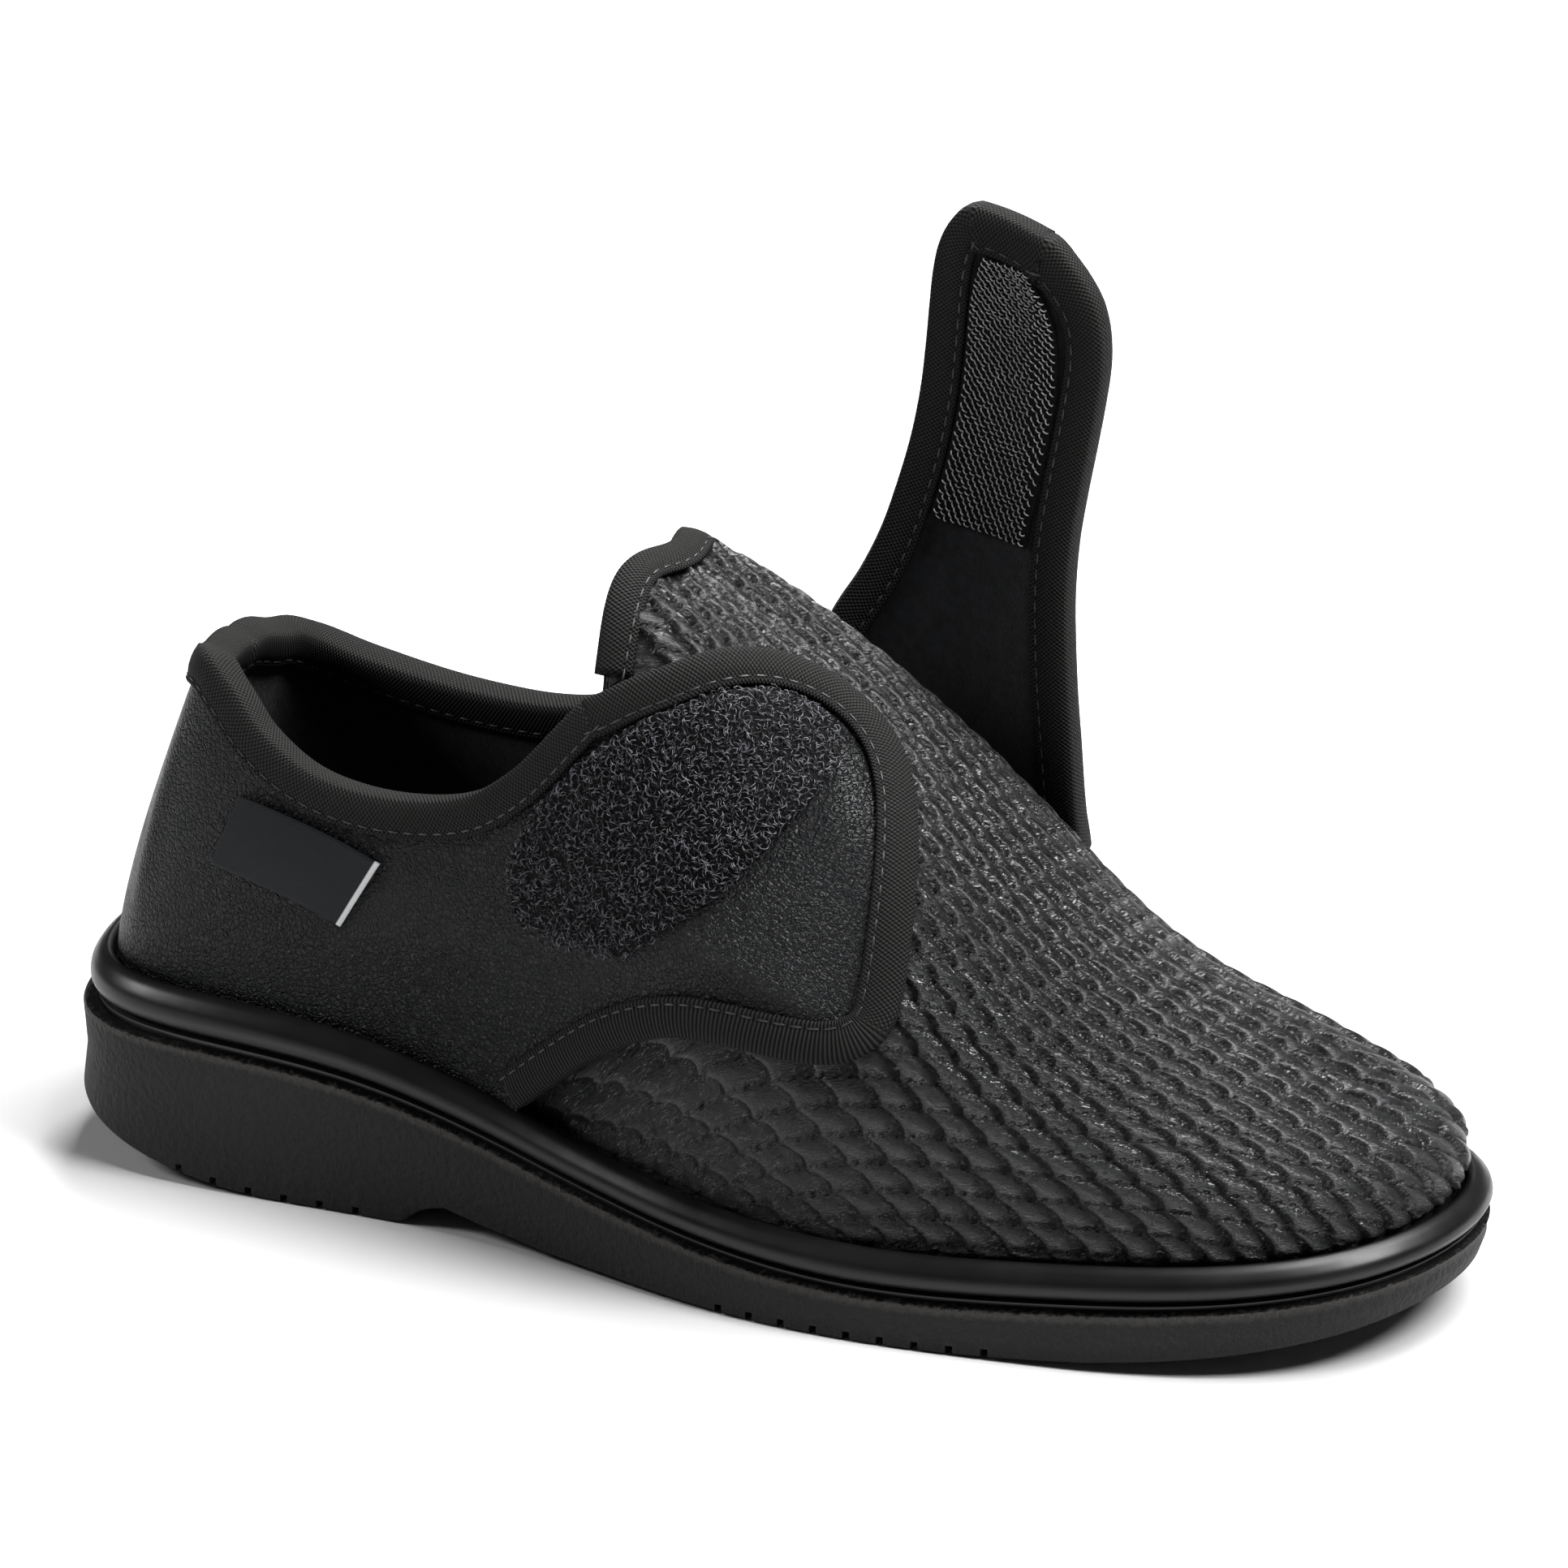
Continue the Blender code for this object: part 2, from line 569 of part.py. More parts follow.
def build_strap():
    rows = np.linspace(0, 1, 21)
    grid = [strap_face(np.linspace(0, 1, 9), np.full(9, s)) for s in rows]
    sheet("strap", grid, "strap", STRAP_THICK, 1.0, lambda p: type(p)((-1, 0, 0)))
    # Hook pad on the inner face, near the tip
    pad_rows = np.linspace(0.42, 0.865, 10)
    grid = []
    for s in pad_rows:
        trim = 0.205 + 0.09 * np.clip((s - 0.72) / 0.145, 0, 1) ** 2
        t = np.linspace(trim, 1 - trim - 0.08 * np.clip((s - 0.62) / 0.245, 0, 1), 7)
        up = s + 0.05 * (1 - t) * (0.865 - s) / 0.445
        grid.append(lifted(strap_face, t, up, np.full(7, SKIN_GAP)))
    sheet("hook_pad", grid, "hook", PAD_THICK, 1.0, lambda p: type(p)((1, 0, 0)))


def build_bindings():
    inner_face = lambda k: -UPPER_WALL - SKIN_GAP
    # Collar, from the outer throat round the heel to the inner throat
    cols = [c for c in upper_columns() if c <= COLLAR[THROAT][0]]
    path = [(ROUND + c, collar_share(c)) for c in cols][::-1]
    path += [(ROUND - c, collar_share(ROUND - c)) for c in cols[1:]]
    binding("collar_binding", last, path, inner_face,
            lambda c: (quarter_lift(c % ROUND, FLAP_LIFT if (c % ROUND) < KNOTS else 0.0)
                       + LEATHER_THICK + SKIN_GAP), into=-1.0)
    # Flap, from the throat over its top, down its front and back along its foot to the sole
    (k1, _, h1), (k2, _, h2) = FLAP[2], FLAP[3]
    start = COLLAR[THROAT][0] + 0.07
    path = [(start, h1 + (h2 - h1) * (start - k1) / (k2 - k1))]
    path += [(k, high) for k, _, high in FLAP if k > start + 0.01]
    path += [(k, low) for k, low, _ in FLAP[::-1]]
    binding("flap_binding", last, path, lambda c: quarter_lift(c, FLAP_LIFT) - EDGE_GAP,
            lambda c: quarter_lift(c, FLAP_LIFT) + LEATHER_THICK + EDGE_GAP)
    # Tongue, over its top from one side to the other
    half = [(k, h) for k, h, _ in COLLAR[THROAT + 2:-1]]
    path = np.array(half + [(COLLAR[-1][0], 0.996)])
    path = np.concatenate([path, [(ROUND - k, h) for k, h in path[::-1]]])
    binding("tongue_binding", last, path, inner_face, lambda c: EDGE_GAP)
    # Strap, up its rear edge, over the tip and down its front edge
    side = np.concatenate([[0.015], np.arange(1, len(STRAP) - 1) / (len(STRAP) - 1)])
    path = [(0.0, s) for s in side] + [(t, 1.0) for t in np.linspace(0, 1, 5)]
    path += [(1.0, s) for s in side[::-1]]
    binding("strap_binding", strap_face, path, lambda t: -STRAP_THICK - EDGE_GAP, lambda t: EDGE_GAP)
    # Foot of the inner quarter, from below the strap back to the sole
    path = [(ROUND - k, low) for k, low, _ in INNER_FRONT[-2::-1]]
    binding("inner_binding", last, path, lambda c: SKIN_GAP,
            lambda c: SKIN_GAP + LEATHER_THICK + EDGE_GAP, into=-1.0, folded=False)


def build_pads():
    out = lambda p: type(p)((1, 0, 0))
    grid = []
    for k, low, high in LOOP_PAD:
        lift = quarter_lift(k, FLAP_LIFT) + LEATHER_THICK + SKIN_GAP * 1.3
        grid.append(lifted(last, np.full(9, k), np.linspace(low, high, 9), np.full(9, lift)))
    sheet("loop_pad", grid, "loop", PAD_THICK, 1.0, out)
    grid = []
    (k0, h0, k1, h1), (k2, h2, k3, h3) = LABEL
    for f in np.linspace(0, 1, 5):
        up = np.linspace(0, 1, 5)
        k = (k0 + (k2 - k0) * f) * (1 - up) + (k1 + (k3 - k1) * f) * up
        h = (h0 + (h2 - h0) * f) * (1 - up) + (h1 + (h3 - h1) * f) * up
        grid.append(lifted(last, k, h, np.full(5, 2 * SKIN_GAP + LEATHER_THICK)))
    sheet("label", grid, "label", LABEL_THICK, 1.0, out)


build_sole()
build_insole()
build_upper()
build_quarters()
build_strap()
build_bindings()
build_pads()
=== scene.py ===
"""Therapeutic shoe, right foot, black: the looks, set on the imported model."""
import math

import bmesh
import bpy
import numpy as np
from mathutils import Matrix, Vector


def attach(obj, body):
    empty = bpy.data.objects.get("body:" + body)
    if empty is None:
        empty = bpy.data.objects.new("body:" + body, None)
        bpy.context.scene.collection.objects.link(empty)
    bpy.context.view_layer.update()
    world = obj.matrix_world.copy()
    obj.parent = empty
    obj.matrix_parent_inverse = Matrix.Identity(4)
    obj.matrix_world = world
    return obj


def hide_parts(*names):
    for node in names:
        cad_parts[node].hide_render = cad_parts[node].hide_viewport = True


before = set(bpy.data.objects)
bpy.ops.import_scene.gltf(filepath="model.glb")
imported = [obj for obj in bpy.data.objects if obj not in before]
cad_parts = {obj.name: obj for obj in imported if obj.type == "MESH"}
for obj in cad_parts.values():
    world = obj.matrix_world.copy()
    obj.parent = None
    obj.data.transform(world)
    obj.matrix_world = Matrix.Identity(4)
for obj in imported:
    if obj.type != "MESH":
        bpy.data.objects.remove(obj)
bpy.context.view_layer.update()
scene = bpy.context.scene


# Studio: a plain pale floor, a soft key light from above and behind the toe, a large box overhead and small ones
# at the heel and on the inner side. The camera is at the photograph's angle, far off with a long lens.
def node(tree, kind, inputs=None, **settings):
    """Add a node; an input takes a value, or the node or socket that feeds it."""
    made = tree.nodes.new(kind)
    for key, value in settings.items():
        setattr(made, key, value)
    for key, value in (inputs or {}).items():
        if isinstance(value, bpy.types.Node):
            value = value.outputs[0]
        if isinstance(value, bpy.types.NodeSocket):
            tree.links.new(value, made.inputs[key])
        else:
            made.inputs[key].default_value = value
    return made


def srgb(code):
    """A hex colour as linear RGBA."""
    values = [int(code[i:i + 2], 16) / 255 for i in (1, 3, 5)]
    return tuple(v / 12.92 if v <= 0.04045 else ((v + 0.055) / 1.055) ** 2.4 for v in values) + (1.0,)


def start_material(name):
    """A new material, its node tree and its shader."""
    material = bpy.data.materials.new(name)
    material.use_nodes = True
    tree = material.node_tree
    tree.nodes.clear()
    shader = node(tree, "ShaderNodeBsdfPrincipled")
    node(tree, "ShaderNodeOutputMaterial", {"Surface": shader})
    return material, tree, shader


def placed(name, data):
    """A new object in the scene."""
    made = bpy.data.objects.new(name, data)
    scene.collection.objects.link(made)
    return made


AZIMUTH, ELEVATION, DISTANCE = math.radians(115), math.radians(20), 1.5
SENSOR, FOCAL_PIXELS, FRAME_PIXELS = 36, 10560, 1932
LOOK_AT = Vector((0.0, 0.07093, 0.0797))
back = Vector((math.sin(AZIMUTH) * math.cos(ELEVATION), -math.cos(AZIMUTH) * math.cos(ELEVATION),
               math.sin(ELEVATION)))
camera = placed("camera", bpy.data.cameras.new("camera"))
camera.data.sensor_width = SENSOR
camera.data.lens = SENSOR * FOCAL_PIXELS / FRAME_PIXELS
camera.location = LOOK_AT + back * DISTANCE
camera.rotation_euler = back.to_track_quat("Z", "Y").to_euler()
scene.camera = camera
scene.view_settings.view_transform = "Standard"

# Each light's place, its angle or side, and its strength
LIGHTS = [("key_softbox", "SUN", (-0.05, 0.80, 1.05), math.radians(20), 3.2),
          ("left_box", "AREA", (0.45, -1.00, 0.80), 0.35, 7.0),
          ("overhead_box", "AREA", (-0.15, 0.38, 0.85), 0.50, 13.0),
          ("back_strip", "AREA", (-0.45, -0.10, 0.70), 0.22, 8.0)]
for name, kind, spot, size, power in LIGHTS:
    lamp = placed(name, bpy.data.lights.new(name, kind))
    if kind == "SUN":
        lamp.data.angle = size
    else:
        lamp.data.size = size
    lamp.data.energy = power
    lamp.location = spot
    lamp.rotation_euler = (Vector(spot) - LOOK_AT * (kind == "AREA")).to_track_quat("Z", "Y").to_euler()

world = bpy.data.worlds.new("pale_room")
world.use_nodes = True
sky = world.node_tree.nodes["Background"]
sky.inputs["Color"].default_value = srgb("#f2f4f8")
sky.inputs["Strength"].default_value = 0.05
scene.world = world

floor_mesh = bpy.data.meshes.new("floor")
floor_mesh.from_pydata([(-4, -4, 0), (4, -4, 0), (4, 4, 0), (-4, 4, 0)], [], [(0, 1, 2, 3)])
floor = placed("floor", floor_mesh)

# Studio paper: uncoated, so matt, and pale enough to wash out to white round the shoe.
paper, tree, shader = start_material("matt_white_paper")
shader.inputs["Base Color"].default_value = srgb("#c8c8c8")
shader.inputs["Roughness"].default_value = 0.9
floor_mesh.materials.append(paper)


# Sole: one moulded polyurethane unit. A textured wall ends in a ragged upper edge under a thin lip,
# and above it runs a fat satin bead that the upper is set into. The tread has cross grooves.
LENGTH, BALL, HEEL, SOLE_TALL = 0.262, 0.098, 0.070, 0.037
HEEL_REST = 0.235 * LENGTH
BEAD_WIDTH, SEAT_DEPTH, EDGE_GAP = 0.0046, 0.0040, 0.0005
TOE_SPRING, HEEL_ROCKER, WAIST_RISE = 0.0091, 0.0118, 0.0046

# Round the sole at even knots: share of the length, how far the width is the heel's and not the ball's, and
# the reach to the outer and to the inner side as shares of that width
OUTLINE = [(0.000, 1.0, 0.000, 0.000), (0.031, 1.0, 0.379, -0.336), (0.122, 1.0, 0.514, -0.457),
           (0.248, 1.0, 0.511, -0.450), (0.373, 0.5, 0.452, -0.369), (0.500, 0.0, 0.469, -0.378),
           (0.628, 0.0, 0.502, -0.469), (0.752, 0.0, 0.469, -0.496), (0.872, 0.0, 0.403, -0.435),
           (0.965, 0.0, 0.245, -0.291), (1.000, 0.0, -0.031, -0.031)]
KNOTS, ROUND = 10, 20


def table(x, xs, ys):
    """Read a table with soft joins between its rows."""
    xs, ys = np.array(xs, float), np.array(ys, float)
    x = np.clip(np.asarray(x, float), xs[0], xs[-1])
    slope = np.gradient(ys, xs)
    i = np.clip(np.searchsorted(xs, x, side="right") - 1, 0, len(xs) - 2)
    w = xs[i + 1] - xs[i]
    t = (x - xs[i]) / w
    return ((1 + 2 * t) * (1 - t) ** 2 * ys[i] + t * (1 - t) ** 2 * w * slope[i]
            + t * t * (3 - 2 * t) * ys[i + 1] + t * t * (t - 1) * w * slope[i + 1])


def column(rows, k):
    """One column of a table."""
    return [row[k] for row in rows]


LOOP = np.array([((HEEL * r[1] + BALL * (1 - r[1])) * r[side], LENGTH * r[0] - HEEL_REST)
                 for side, rows in ((2, OUTLINE), (3, OUTLINE[-2:0:-1])) for r in rows])
BEND = np.linalg.solve(4 * np.eye(ROUND) + np.roll(np.eye(ROUND), 1, 0) + np.roll(np.eye(ROUND), -1, 0),
                       6 * (np.roll(LOOP, -1, 0) - 2 * LOOP + np.roll(LOOP, 1, 0)))


def outline(c, slope=False):
    """Point (or slope) of the outline at knot c, up the outer side and down the inner side."""
    c = np.asarray(c, float) % ROUND
    i = np.floor(c).astype(int) % ROUND
    t = (c - np.floor(c))[..., None]
    j = (i + 1) % ROUND
    if slope:
        return LOOP[j] - LOOP[i] + (1 - 3 * (1 - t) ** 2) / 6 * BEND[i] - (1 - 3 * t ** 2) / 6 * BEND[j]
    return (LOOP[i] * (1 - t) + LOOP[j] * t - ((1 - t) - (1 - t) ** 3) / 6 * BEND[i]
            - (t - t ** 3) / 6 * BEND[j])


def outward(c):
    """The level direction that leaves the outline squarely at knot c."""
    d = outline(c, slope=True)
    d = d / np.linalg.norm(d, axis=-1, keepdims=True)
    return np.stack([d[..., 1], -d[..., 0]], -1)


def along(y):
    """How far along the sole a place is, from 0 at the heel to 1 at the toe."""
    return (y + HEEL_REST) / LENGTH


# Along the sole: heights of the wall's ledge and of the bead's top, as shares of the sole's height
HEIGHTS = [(0.000, 0.730, 1.000), (0.229, 0.649, 0.905), (0.420, 0.378, 0.595), (0.630, 0.222, 0.441),
           (0.821, 0.284, 0.495), (1.000, 0.419, 0.608)]


def ledge_height(y):
    """Top of the textured wall."""
    return SOLE_TALL * table(along(y), column(HEIGHTS, 0), column(HEIGHTS, 1))


def bead_height(y):
    """Top of the bead."""
    return SOLE_TALL * table(along(y), column(HEIGHTS, 0), column(HEIGHTS, 2))


# Along the sole: how far the tread is up towards the top of its arch at the waist
WAIST = [(0.284, 0), (0.300, 0.7), (0.318, 1), (0.350, 0.62), (0.400, 0.28), (0.480, 0.14), (0.540, 0.03),
         (0.575, 0)]


def tread_height(y):
    """Underside of the sole: flat at heel and ball, and up at the toe, the heel's end and the waist."""
    a = along(y)
    toe = np.clip((a - 0.668) / 0.332, 0, 1)
    heel = np.clip((0.195 - a) / 0.195, 0, 1)
    waist = np.interp(a, column(WAIST, 0), column(WAIST, 1))
    return TOE_SPRING * toe ** 2 + HEEL_ROCKER * heel ** 2 + WAIST_RISE * waist


def mesh_piece(name, verts, faces, uv=None, weld=0.0, **attributes):
    """A mesh object with smooth faces, an optional UV per vertex and optional values per vertex."""
    mesh = bpy.data.meshes.new(name)
    mesh.from_pydata(np.asarray(verts, float).tolist(), [], faces)
    for key, values in attributes.items():
        values = np.asarray(values, np.float32).ravel()
        mesh.attributes.new(key, "FLOAT", "POINT").data.foreach_set("value", values)
    if uv is not None:
        corner = np.zeros(len(mesh.loops), int)
        mesh.loops.foreach_get("vertex_index", corner)
        mesh.uv_layers.new(name="UVMap").data.foreach_set("uv", np.asarray(uv, np.float32)[corner].ravel())
    obj = placed(name, mesh)
    if weld:
        bm = bmesh.new()
        bm.from_mesh(mesh)
        bmesh.ops.remove_doubles(bm, verts=bm.verts, dist=weld)
        bm.to_mesh(mesh)
        bm.free()
    mesh.shade_smooth()
    return obj


def finish_piece(obj, material, slot, *nodes):
    """Give a piece its material and its place on the shoe's one body."""
    obj.data.materials.clear()
    obj.data.materials.append(material)
    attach(obj, "root")
    if nodes:
        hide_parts(*nodes)
    return obj


def settle(obj):
    """Turn a piece and its modifiers into one plain mesh."""
    mesh = bpy.data.meshes.new_from_object(obj.evaluated_get(bpy.context.evaluated_depsgraph_get()))
    obj.modifiers.clear()
    obj.data = mesh
    return obj


def face_away(obj, centre):
    """Turn an open sheet so that it faces away from a point inside the shoe."""
    mesh = obj.data
    middle = mesh.polygons[len(mesh.polygons) // 2]
    if middle.normal.dot(middle.center - Vector(centre)) < 0:
        mesh.flip_normals()
    return obj


def faces_out(obj):
    """Turn the faces of a closed piece outwards."""
    bm = bmesh.new()
    bm.from_mesh(obj.data)
    bmesh.ops.recalc_face_normals(bm, faces=bm.faces)
    bm.to_mesh(obj.data)
    bm.free()


def grid_faces(rows, columns, closed=False):
    """Faces of a grid of points; a closed grid joins its last column to its first."""
    last_column = columns if closed else columns - 1
    return [(i * columns + j, (i + 1) * columns + j,
             (i + 1) * columns + (j + 1) % columns, i * columns + (j + 1) % columns)
            for i in range(rows - 1) for j in range(last_column)]


def loft_faces(rows, columns):
    """Faces of a closed body of rings, with its two ends laid straight across."""
    faces = [tuple(reversed(f)) for f in grid_faces(rows, columns, closed=True)]
    end, half = columns - 1, columns // 2
    for first in (0, (rows - 1) * columns):
        faces += [(first, first + 1, first + end), (first + half - 1, first + half, first + half + 1)]
        faces += [(first + i, first + i + 1, first + end - i, first + columns - i)
                  for i in range(1, half - 1)]
    return faces


AROUND, BEAD_STEPS = 400, 35
c = np.arange(AROUND) * ROUND / AROUND
base, way = outline(c), outward(c)
y = base[:, 1]
toe_in = 0.0026 * np.clip((along(y) - 0.8) / 0.2, 0, 1)
heel_out = 0.0018 * np.clip((0.12 - along(y)) / 0.12, 0, 1)
flare = 0.0013 - toe_in + heel_out * 0.6
low, ledge, top = tread_height(y), ledge_height(y), bead_height(y)
rise = top - ledge
profile = [(flare - 0.004, low), (flare - 0.0008, low), (flare - 0.0002, low + 0.0003), (flare, low + 0.0009),
           (flare * 0.5 + 0.0002, (low + ledge) / 2), (0.0004 - toe_in * 0.3 + heel_out, ledge - 0.0008),
           (0.0001 + heel_out, ledge - 0.0002), (-0.0005 + heel_out, ledge), (-0.0014, ledge + 0.0002),
           (-0.0010, ledge + 0.10 * rise), (-0.0010, ledge + 0.16 * rise), (-0.0020, ledge + 0.21 * rise)]
bead_part = [(-0.0020, ledge + 0.22 * rise), (-0.0002, ledge + 0.32 * rise), (0.0006, ledge + 0.50 * rise),
             (0.0002, ledge + 0.72 * rise), (-0.0012, ledge + 0.92 * rise), (-0.0028, top + 0.0002),
             (EDGE_GAP - BEAD_WIDTH + 0.0002, top - 0.0004), (EDGE_GAP - BEAD_WIDTH, top - 0.0014)]
corners = np.array([np.broadcast_arrays(off, z) for off, z in bead_part])
bead_foot = len(profile)
for s in np.linspace(0, len(bead_part) - 1, BEAD_STEPS + 1)[1:]:
    k = min(int(s), len(bead_part) - 2)
    profile.append(corners[k] + (corners[k + 1] - corners[k]) * (s - k))
profile.append((EDGE_GAP - BEAD_WIDTH, top - SEAT_DEPTH))
rings = np.array([np.concatenate([base + way * np.broadcast_to(off, y.shape)[:, None], z[:, None]], 1)
                  for off, z in profile])
for _ in range(3):
    bead = rings[bead_foot - 1:bead_foot + BEAD_STEPS + 1].copy()
    rings[bead_foot:bead_foot + BEAD_STEPS] = (bead[:-2] + 2 * bead[1:-1] + bead[2:]) / 4
sole = mesh_piece("sole_unit", rings.reshape(-1, 3), loft_faces(len(rings), AROUND))
faces_out(sole)

# Where the cross grooves start along the sole, how many there are, and how far apart
GROOVES = [(0.115, 6, 0.0062 * 1.15), (0.545, 9, 0.0062)]
GROOVE_MOUTH, GROOVE_ROOF, GROOVE_DEEP, CUTTER_TALL = 0.0020, 0.0013, 0.0017, 0.010
bm = bmesh.new()
for start, number, pitch in GROOVES:
    for i in range(number):
        y0 = start * LENGTH - HEEL_REST + i * pitch
        middle = float(tread_height(np.array(y0))) + GROOVE_DEEP - CUTTER_TALL / 2
        for v in bmesh.ops.create_cube(bm, size=1.0)["verts"]:
            wide = GROOVE_MOUTH if v.co.z < 0 else GROOVE_ROOF
            v.co = (v.co.x * BALL * 1.3, y0 + v.co.y * wide, middle + v.co.z * CUTTER_TALL)
groove_mesh = bpy.data.meshes.new("grooves")
bm.to_mesh(groove_mesh)
bm.free()
grooves = placed("grooves", groove_mesh)
cutting = sole.modifiers.new("grooves", "BOOLEAN")
cutting.operation, cutting.object = "DIFFERENCE", grooves
settle(sole)
bpy.data.objects.remove(grooves)
place = np.array([v.co for v in sole.data.vertices])
above = ((place[:, 2] - ledge_height(place[:, 1])) * 1000).astype(np.float32)
sole.data.attributes.new("above_ledge", "FLOAT", "POINT").data.foreach_set("value", above)
sole.data.set_sharp_from_angle(angle=math.radians(42))

# Moulded polyurethane: a coarse spark-eroded grain of 1.2 mm on the wall, worn to a paler ragged line at its
# upper edge, and a smooth satin skin on the bead with faint flow marks.
polyurethane, tree, shader = start_material("moulded_black_polyurethane")
spot = node(tree, "ShaderNodeTexCoord").outputs["Object"]
height = node(tree, "ShaderNodeAttribute", attribute_name="above_ledge").outputs["Fac"]
ragged = node(tree, "ShaderNodeTexNoise", {"Vector": spot, "Scale": 900.0, "Detail": 4.0, "Roughness": 0.65})
shifted = node(tree, "ShaderNodeMath", {0: ragged, 1: 2.2, 2: -1.1}, operation="MULTIPLY_ADD")
edge = node(tree, "ShaderNodeMath", {0: height, 1: shifted}, operation="ADD")
wall = node(tree, "ShaderNodeMapRange", {"Value": edge, "From Min": -0.35, "From Max": -0.05,
                                         "To Min": 1.0, "To Max": 0.0})
scuffed = node(tree, "ShaderNodeMapRange", {"Value": edge, "From Min": -1.9, "From Max": -0.5})
scuff = node(tree, "ShaderNodeMath", {0: scuffed, 1: wall}, operation="MULTIPLY")
grain = node(tree, "ShaderNodeTexNoise", {"Vector": spot, "Scale": 800.0, "Detail": 5.0, "Roughness": 0.6})
flow = node(tree, "ShaderNodeTexNoise", {"Vector": spot, "Scale": 90.0, "Detail": 3.0, "Roughness": 0.5})
tint = node(tree, "ShaderNodeMix", {0: wall, 6: srgb("#070708"), 7: srgb("#0c0c0d")}, data_type="RGBA")
tint = node(tree, "ShaderNodeMix", {0: scuff, 6: tint.outputs[2], 7: srgb("#3a3835")}, data_type="RGBA")
tree.links.new(tint.outputs[2], shader.inputs["Base Color"])
satin = node(tree, "ShaderNodeMath", {0: flow, 1: 0.22, 2: 0.26}, operation="MULTIPLY_ADD")
shader.inputs["Specular IOR Level"].default_value = 0.36
rough = node(tree, "ShaderNodeMix", {0: wall, 2: satin, 3: 0.66})
tree.links.new(rough.outputs[0], shader.inputs["Roughness"])
depth = node(tree, "ShaderNodeMath", {0: grain, 1: wall}, operation="MULTIPLY")
bump = node(tree, "ShaderNodeBump", {"Height": depth, "Strength": 0.9, "Distance": 0.0013})
waves = node(tree, "ShaderNodeBump", {"Height": flow, "Strength": 0.12, "Distance": 0.0010, "Normal": bump})
tree.links.new(waves.outputs[0], shader.inputs["Normal"])
finish_piece(sole, polyurethane, "sole", "sole")


# Footbed: a loose foam insole under black fleece, a little crowned, lying in the seat of the sole.
# Only its rear shows, through the collar.
LEATHER, WALL, SKIN_GAP = 0.0012, 0.0020, 0.0005
EDGE_IN = BEAD_WIDTH + LEATHER + WALL + 3 * SKIN_GAP
FOAM_AROUND = 160
c = np.arange(FOAM_AROUND) * ROUND / FOAM_AROUND
base, way = outline(c), outward(c)
seat = bead_height(base[:, 1]) - SEAT_DEPTH + 0.0005
foam_edge = [(0.0, 0.0), (-0.0004, 0.0012), (0.0, 0.0024), (0.0010, 0.0033), (0.0040, 0.0038),
             (0.0090, 0.0036)]
rings = [np.concatenate([base - way * (EDGE_IN + off), (seat + up)[:, None]], 1) for off, up in foam_edge]
footbed = mesh_piece("footbed", np.concatenate(rings), loft_faces(len(rings), FOAM_AROUND))
faces_out(footbed)

# Brushed polyester fleece: short matted fibres, so deep black with a soft sheen and a cloudy nap of
# 2 mm tufts over a fine fuzz.
fleece, tree, shader = start_material("brushed_black_fleece")
spot = node(tree, "ShaderNodeTexCoord").outputs["Object"]
tufts = node(tree, "ShaderNodeTexNoise", {"Vector": spot, "Scale": 420.0, "Detail": 8.0, "Roughness": 0.72})
fuzz = node(tree, "ShaderNodeTexNoise", {"Vector": spot, "Scale": 2600.0, "Detail": 3.0, "Roughness": 0.7})
shade = node(tree, "ShaderNodeMapRange", {"Value": tufts, "From Min": 0.32, "From Max": 0.72})
tint = node(tree, "ShaderNodeMix", {0: shade, 6: srgb("#07080a"), 7: srgb("#1c1e22")}, data_type="RGBA")
tree.links.new(tint.outputs[2], shader.inputs["Base Color"])
shader.inputs["Roughness"].default_value = 1.0
shader.inputs["Specular IOR Level"].default_value = 0.05
shader.inputs["Sheen Weight"].default_value = 0.12
shader.inputs["Sheen Roughness"].default_value = 0.6
both = node(tree, "ShaderNodeMath", {0: fuzz, 1: 0.5, 2: tufts}, operation="MULTIPLY_ADD")
bump = node(tree, "ShaderNodeBump", {"Height": both, "Strength": 0.7, "Distance": 0.0007})
tree.links.new(bump.outputs[0], shader.inputs["Normal"])
finish_piece(footbed, fleece, "insole", "insole")


# Vamp and tongue: one stretch textile, quilted in rows of slanted leaf-shaped ribs over thin foam and lasted
# into the seat. The rows run from the outer side at the rear over the ridge to the inner side at the toe.
INSTEP = 0.132

# At each knot: the ridge's place across and along, its height as a share of the instep's, how square the arc
# is and how far it bulges in mm
RIDGE = [(0.000, 0.191, 1.000, 1.24, 0.0), (0.000, 0.191, 1.000, 1.36, 0.0),
         (0.000, 0.198, 1.000, 1.85, 0.6), (0.000, 0.237, 1.000, 2.15, 1.0),
         (0.000, 0.321, 0.982, 2.20, 1.0), (-0.010, 0.431, 0.896, 2.45, 1.0),
         (-0.020, 0.576, 0.726, 2.05, 1.0), (-0.031, 0.737, 0.455, 2.00, 1.2),
         (-0.041, 0.855, 0.347, 2.05, 1.6), (-0.046, 0.901, 0.298, 2.10, 2.0),
         (-0.046, 0.901, 0.298, 2.10, 2.0)]

